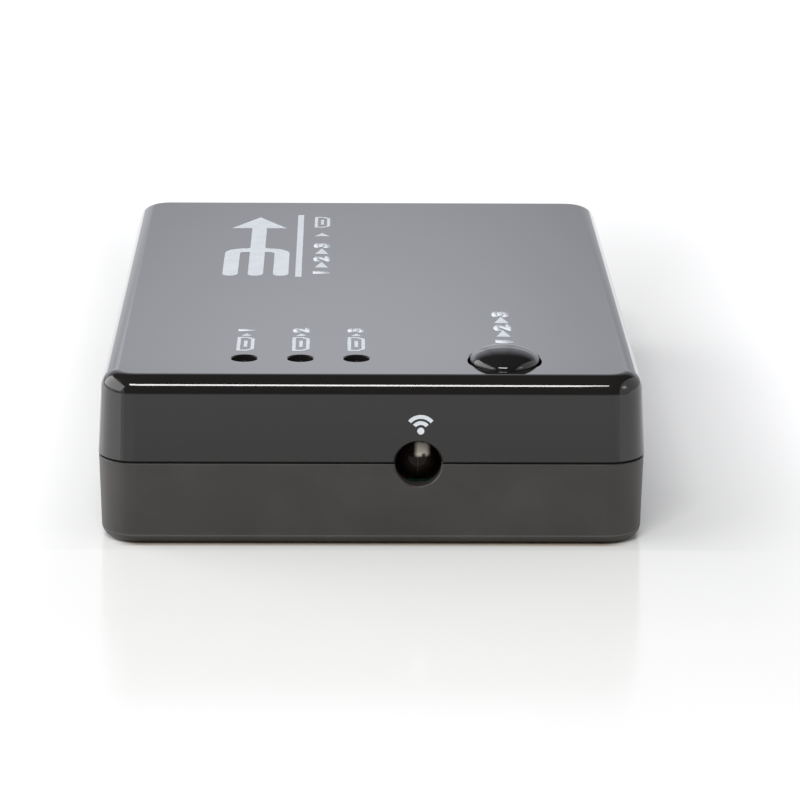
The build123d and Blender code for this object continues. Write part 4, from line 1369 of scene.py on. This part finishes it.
@dataclass(frozen=True)
class BoardWork(Assembly):
    """The circuit board with its chips and small parts."""

    laminate: BoardLaminate = BoardLaminate("board_green")
    chips: ChipEpoxy = ChipEpoxy("chip_epoxy")
    leads: PlatedSheet = PlatedSheet("chip_lead_tin", (0.70, 0.69, 0.66))
    can: PlatedSheet = PlatedSheet("crystal_steel", (0.68, 0.67, 0.65))
    plastic: SatinMoulding = SatinMoulding("base_moulding", (0.016, 0.016, 0.016))
    resistor_colour: Colour = (0.020, 0.020, 0.024)
    ceramic_colour: Colour = (0.36, 0.25, 0.15)
    part_length: float = 0.0016

    def build(self) -> list[str]:
        """Dresses the board and its parts.

        Returns:
            The nodes' names.
        """
        dress(["circuit_board"], self.laminate.material(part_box("circuit_board")[0].y))
        chips = ["switch_chip", "controller_chip", "regulator"]
        dress(chips, self.chips.material())
        leads = [f"{chip}_leads" for chip in chips]
        dress(leads, self.leads.material())
        dress(["crystal_can"], self.can.material())
        dress(["capacitor_bases"], self.plastic.material())
        self.dress_cans()
        self.dress_chip_parts()
        return ["circuit_board", *chips, *leads, "crystal_can", "capacitor_bases",
                "capacitor_cans", "chip_resistors", "chip_capacitors"]

    def dress_cans(self) -> None:
        """Dresses the capacitors' cans, with the dark sector at each can's own place."""
        low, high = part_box("capacitor_cans")
        radius = (high.y - low.y) / 2
        middle = (low.y + high.y) / 2
        cans = CapacitorCan("can_aluminium", ((low.x + radius, middle), (high.x - radius, middle)),
                            radius)
        dress(["capacitor_cans"], cans.material())

    def dress_chip_parts(self) -> None:
        """Dresses the rows of chip resistors and chip capacitors."""
        low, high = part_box("chip_resistors")
        resistors = ChipParts("resistor_ends", self.resistor_colour, (low.x + high.x) / 2,
                              2 * self.part_length)
        dress(["chip_resistors"], resistors.material())
        low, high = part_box("chip_capacitors")
        pitch = (high.x - low.x - self.part_length) / 3
        capacitors = ChipParts("ceramic_ends", self.ceramic_colour, low.x + self.part_length / 2,
                               pitch)
        dress(["chip_capacitors"], capacitors.material())


# Studio


@dataclass(frozen=True)
class PhotoCamera:
    """The camera, fitted to the box's edges in the photograph."""

    place: Place = (-0.003464, -0.429747, 0.128463)
    pitch: float = 16.1186
    yaw: float = 0.9763
    roll: float = 0.4066
    focal_pixels: float = 3584.54
    frame_pixels: float = 800.0
    sensor: float = 36.0

    def build(self) -> bpy.types.Object:
        """Makes the scene's camera.

        Returns:
            The camera.
        """
        pitch, yaw, roll = (math.radians(angle) for angle in (self.pitch, self.yaw, self.roll))
        ahead = Vector((math.sin(yaw) * math.cos(pitch), math.cos(yaw) * math.cos(pitch),
                        -math.sin(pitch)))
        right = Vector((math.cos(yaw), -math.sin(yaw), 0.0))
        up = right.cross(ahead)
        turned_right = math.cos(roll) * right + math.sin(roll) * up
        turned_up = -math.sin(roll) * right + math.cos(roll) * up
        data = bpy.data.cameras.new("photo_camera")
        data.sensor_width = self.sensor
        data.lens = self.sensor * self.focal_pixels / self.frame_pixels
        data.clip_start, data.clip_end = 0.01, 20.0
        camera = bpy.data.objects.new("photo_camera", data)
        bpy.context.scene.collection.objects.link(camera)
        turn = Matrix((turned_right, turned_up, -ahead)).transposed()
        camera.matrix_world = Matrix.Translation(self.place) @ turn.to_4x4()
        bpy.context.scene.camera = camera
        return camera


@dataclass(frozen=True)
class Softbox:
    """A soft lamp that faces the box, seen in its gloss but not by the camera."""

    name: str
    azimuth: float
    elevation: float
    distance: float
    size: Point
    radiance: float
    target: Place = (0.0, -0.02, 0.012)

    def build(self) -> bpy.types.Object:
        """Makes the lamp.

        Returns:
            The lamp.
        """
        data = bpy.data.lights.new(self.name, "AREA")
        data.shape = "RECTANGLE"
        data.size, data.size_y = self.size
        data.energy = self.radiance * math.pi * self.size[0] * self.size[1]
        lamp = bpy.data.objects.new(self.name, data)
        bpy.context.scene.collection.objects.link(lamp)
        turn, rise = math.radians(self.azimuth), math.radians(self.elevation)
        back = Vector((math.sin(turn) * math.cos(rise), -math.cos(turn) * math.cos(rise),
                       math.sin(rise)))
        lamp.location = Vector(self.target) + back * self.distance
        lamp.rotation_euler = back.to_track_quat("Z", "Y").to_euler()
        lamp.visible_camera = False
        return lamp


@dataclass(frozen=True)
class TableTop:
    """The white table top: grey round the box, plain white away from it, dark far behind,
    with a brownish painted contact shadow and reflection just in front of the box's foot.

    Its reaches are in millimetres.
    """

    half: float = 3.0
    colour: Colour = (0.83, 0.83, 0.82)
    polish: float = 0.13
    ior: float = 1.27
    white_reach: Reach = (1.0, 32.0)
    left_share: float = 1.6
    right_share: float = 0.76
    front_reach: Reach = (0.0, 1.8)
    front_lift: float = 9.6
    front_level: float = 22.0
    front_share: float = 0.22
    behind_share: float = 0.24
    blend: float = 6.0
    dark_reach: Reach = (-152.0, -172.0)
    touch: Colour = (0.40, 0.335, 0.27)
    touch_start: Reach = (-4.0, -3.0)
    touch_end: Reach = (0.2, -0.9)
    touch_sides: Reach = (-1.5, -5.0)

    def build(self) -> bpy.types.Object:
        """Makes the table top.

        Returns:
            The table top.
        """
        deselect()
        bpy.ops.mesh.primitive_plane_add(size=2 * self.half, location=(0.0, 0.0, 0.0))
        floor = bpy.context.active_object
        apply_place(floor)
        floor.name = "floor"
        floor.data.materials.append(self.material())
        return floor

    def material(self) -> bpy.types.Material:
        """Builds the material.

        Returns:
            The material.
        """
        recipe = Recipe("table_top")
        across, along, _ = recipe.axes(recipe.place())
        half_x, half_y = (share * PER_MM for share in (CAD_BOX[1].x, CAD_BOX[1].y))
        white = self.away(across, along, half_x, half_y).rise(*self.white_reach)
        dark = along.rise(*self.dark_reach)
        # A brownish band just in front of the box's foot: painted contact shadow and painted
        # reflection of the foot.
        front = -along - half_y
        touch = front.rise(*self.touch_start) * front.rise(*self.touch_end)
        touch = touch * abs(across).rise(*(half_x + edge for edge in self.touch_sides))
        lit = recipe.mix(touch, self.colour, self.touch)
        black = (0.0, 0.0, 0.0)
        base = recipe.mix(white.at_least(dark), lit, black)
        glow = recipe.mix(white * (1.0 - dark), black, (1.0, 1.0, 1.0))
        return recipe.finish(base, self.polish, ior=self.ior, Emission_Color=glow,
                             Emission_Strength=1.0)

    def away(self, across: Value, along: Value, half_x: float, half_y: float) -> Value:
        """How far a place is from the box, counted differently on each side.

        Args:
            across: The place along X.
            along: The place along Y.
            half_x: The box's half width.
            half_y: The box's half length.

        Returns:
            The distance, rounded off where two sides meet.
        """
        left = (-half_x - across).at_least(0.0) * self.left_share
        beside = (across - half_x).at_least(0.0) * self.right_share + left
        before = (-half_y - along).at_least(0.0)
        far = (before - self.front_level).at_least(0.0) * self.front_share
        before = before.rise(*self.front_reach) * self.front_lift + far
        behind = (along - half_y).at_least(0.0) * self.behind_share
        powers = beside ** self.blend + (before + behind) ** self.blend
        return powers ** (1.0 / self.blend)


@dataclass(frozen=True)
class GradedCard:
    """The card over the box, seen in its gloss only: glowing low behind it, dark above.

    Its glow goes by the angle over the floor, in degrees, and by the place across.
    """

    radius: float = 1.4
    half_width: float = 1.1
    ends: Reach = (2.0, 179.0)
    steps: int = 48
    climb: float = 0.14
    climb_level: float = 0.925
    climb_least: float = 0.90
    climb_most: float = 1.42
    low_fade: Reach = (22.5, 16.3)
    high_fade: Reach = (46.0, 23.0)
    middle: float = -5.0
    spread: float = 295.0
    side_least: float = 0.75
    side_reach: Reach = (110.0, 200.0)
    left_lift: float = 0.42
    right_lift: float = 0.14
    tint: Colour = (1.0, 1.016, 1.095)
    dark: float = 0.012

    def build(self) -> bpy.types.Object:
        """Makes the card.

        Returns:
            The card.
        """
        deselect()
        bpy.ops.mesh.primitive_plane_add(size=2 * self.half_width)
        card = bpy.context.active_object
        pick(card, lambda place: place.y < 0.0)
        bpy.ops.mesh.delete(type="VERT")
        bpy.ops.mesh.select_all(action="SELECT")
        bpy.ops.transform.translate(value=(0.0, -self.half_width + self.radius, 0.0))
        low, high = (math.radians(angle) for angle in self.ends)
        bpy.ops.transform.rotate(value=-low, orient_axis="X", center_override=(0.0, 0.0, 0.0))
        bpy.ops.mesh.spin(steps=self.steps, angle=low - high, center=(0.0, 0.0, 0.0),
                          axis=(1.0, 0.0, 0.0))
        deselect()
        card.name = "graded_card"
        card.data.materials.append(self.material())
        card.visible_camera = card.visible_diffuse = card.visible_shadow = False
        card.visible_transmission = False
        return card

    def material(self) -> bpy.types.Material:
        """Builds the material.

        Returns:
            The material.
        """
        recipe = Recipe("graded_card")
        across, along, up = recipe.axes(recipe.place())
        angle = up.angle_over(along) * (180.0 / math.pi)
        climb = (angle * self.climb - self.climb_level).at_least(self.climb_least)
        fade = 0.50 * angle.rise(*self.low_fade) + 0.50 * angle.rise(*self.high_fade)
        aside = (across - self.middle) / self.spread
        level = (1.0 - aside * aside).at_least(self.side_least)
        left = (-across).rise(*self.side_reach) * self.left_lift
        right = across.rise(*self.side_reach) * self.right_lift
        glow = climb.at_most(self.climb_most) * fade * (level + left + right) + self.dark
        light = recipe.add("ShaderNodeEmission", None,
                           {"Color": (*self.tint, 1.0), "Strength": glow})
        recipe.material.cycles.emission_sampling = "NONE"
        return recipe.close(light.outputs[0])


@dataclass(frozen=True)
class Studio:
    """Table top, graded card, soft lamps and world."""

    table: TableTop = TableTop()
    card: GradedCard = GradedCard()
    world_light: float = 0.50
    lamps: tuple[Softbox, ...] = (
        Softbox("front_strip", -11.0, 51.0, 0.80, (0.37, 0.13), 22.0),
        Softbox("left_box", -90.0, 25.0, 0.80, (1.40, 0.60), 2.6),
        Softbox("right_box", 62.0, 28.0, 0.80, (0.20, 0.20), 3.0),
    )

    def build(self) -> None:
        """Builds the stage and its light."""
        bpy.context.scene.view_settings.view_transform = "Standard"
        self.build_world()
        self.table.build()
        self.card.build()
        for lamp in self.lamps:
            lamp.build()

    def build_world(self) -> bpy.types.World:
        """Makes the world: white to camera, gloss and glass, plain light to the rest.

        Returns:
            The world.
        """
        world = bpy.data.worlds.new("studio")
        bpy.context.scene.world = world
        world.use_nodes = True
        tree = Tree(world.node_tree)
        path = tree.add("ShaderNodeLightPath")
        camera, gloss, glass = (Value(tree, path.outputs[f"Is {kind} Ray"])
                                for kind in ("Camera", "Glossy", "Transmission"))
        seen = camera.at_least(gloss).at_least(glass)
        strength = seen * (1.0 - self.world_light) + self.world_light
        light = tree.add("ShaderNodeBackground", None, {"Strength": strength})
        tree.add("ShaderNodeOutputWorld", None, {"Surface": light.outputs[0]})
        return world


# Main


def main() -> None:
    """Builds the studio, dresses each sub-assembly and prints the signs."""
    logging.basicConfig(level=logging.INFO, format="%(name)s: %(message)s")
    PhotoCamera().build()
    Studio().build()
    for assembly in (Case(), SelectKey(), Lamps(), Receiver(), Ports(), BoardWork()):
        for name in assembly.build():
            LOG.info("%s: dressed %s", type(assembly).__name__, name)
    for sign in PrintedSigns().build():
        LOG.info("PrintedSigns: made %s with %d faces", sign.name, len(sign.data.polygons))


if __name__ == "__main__":
    main()
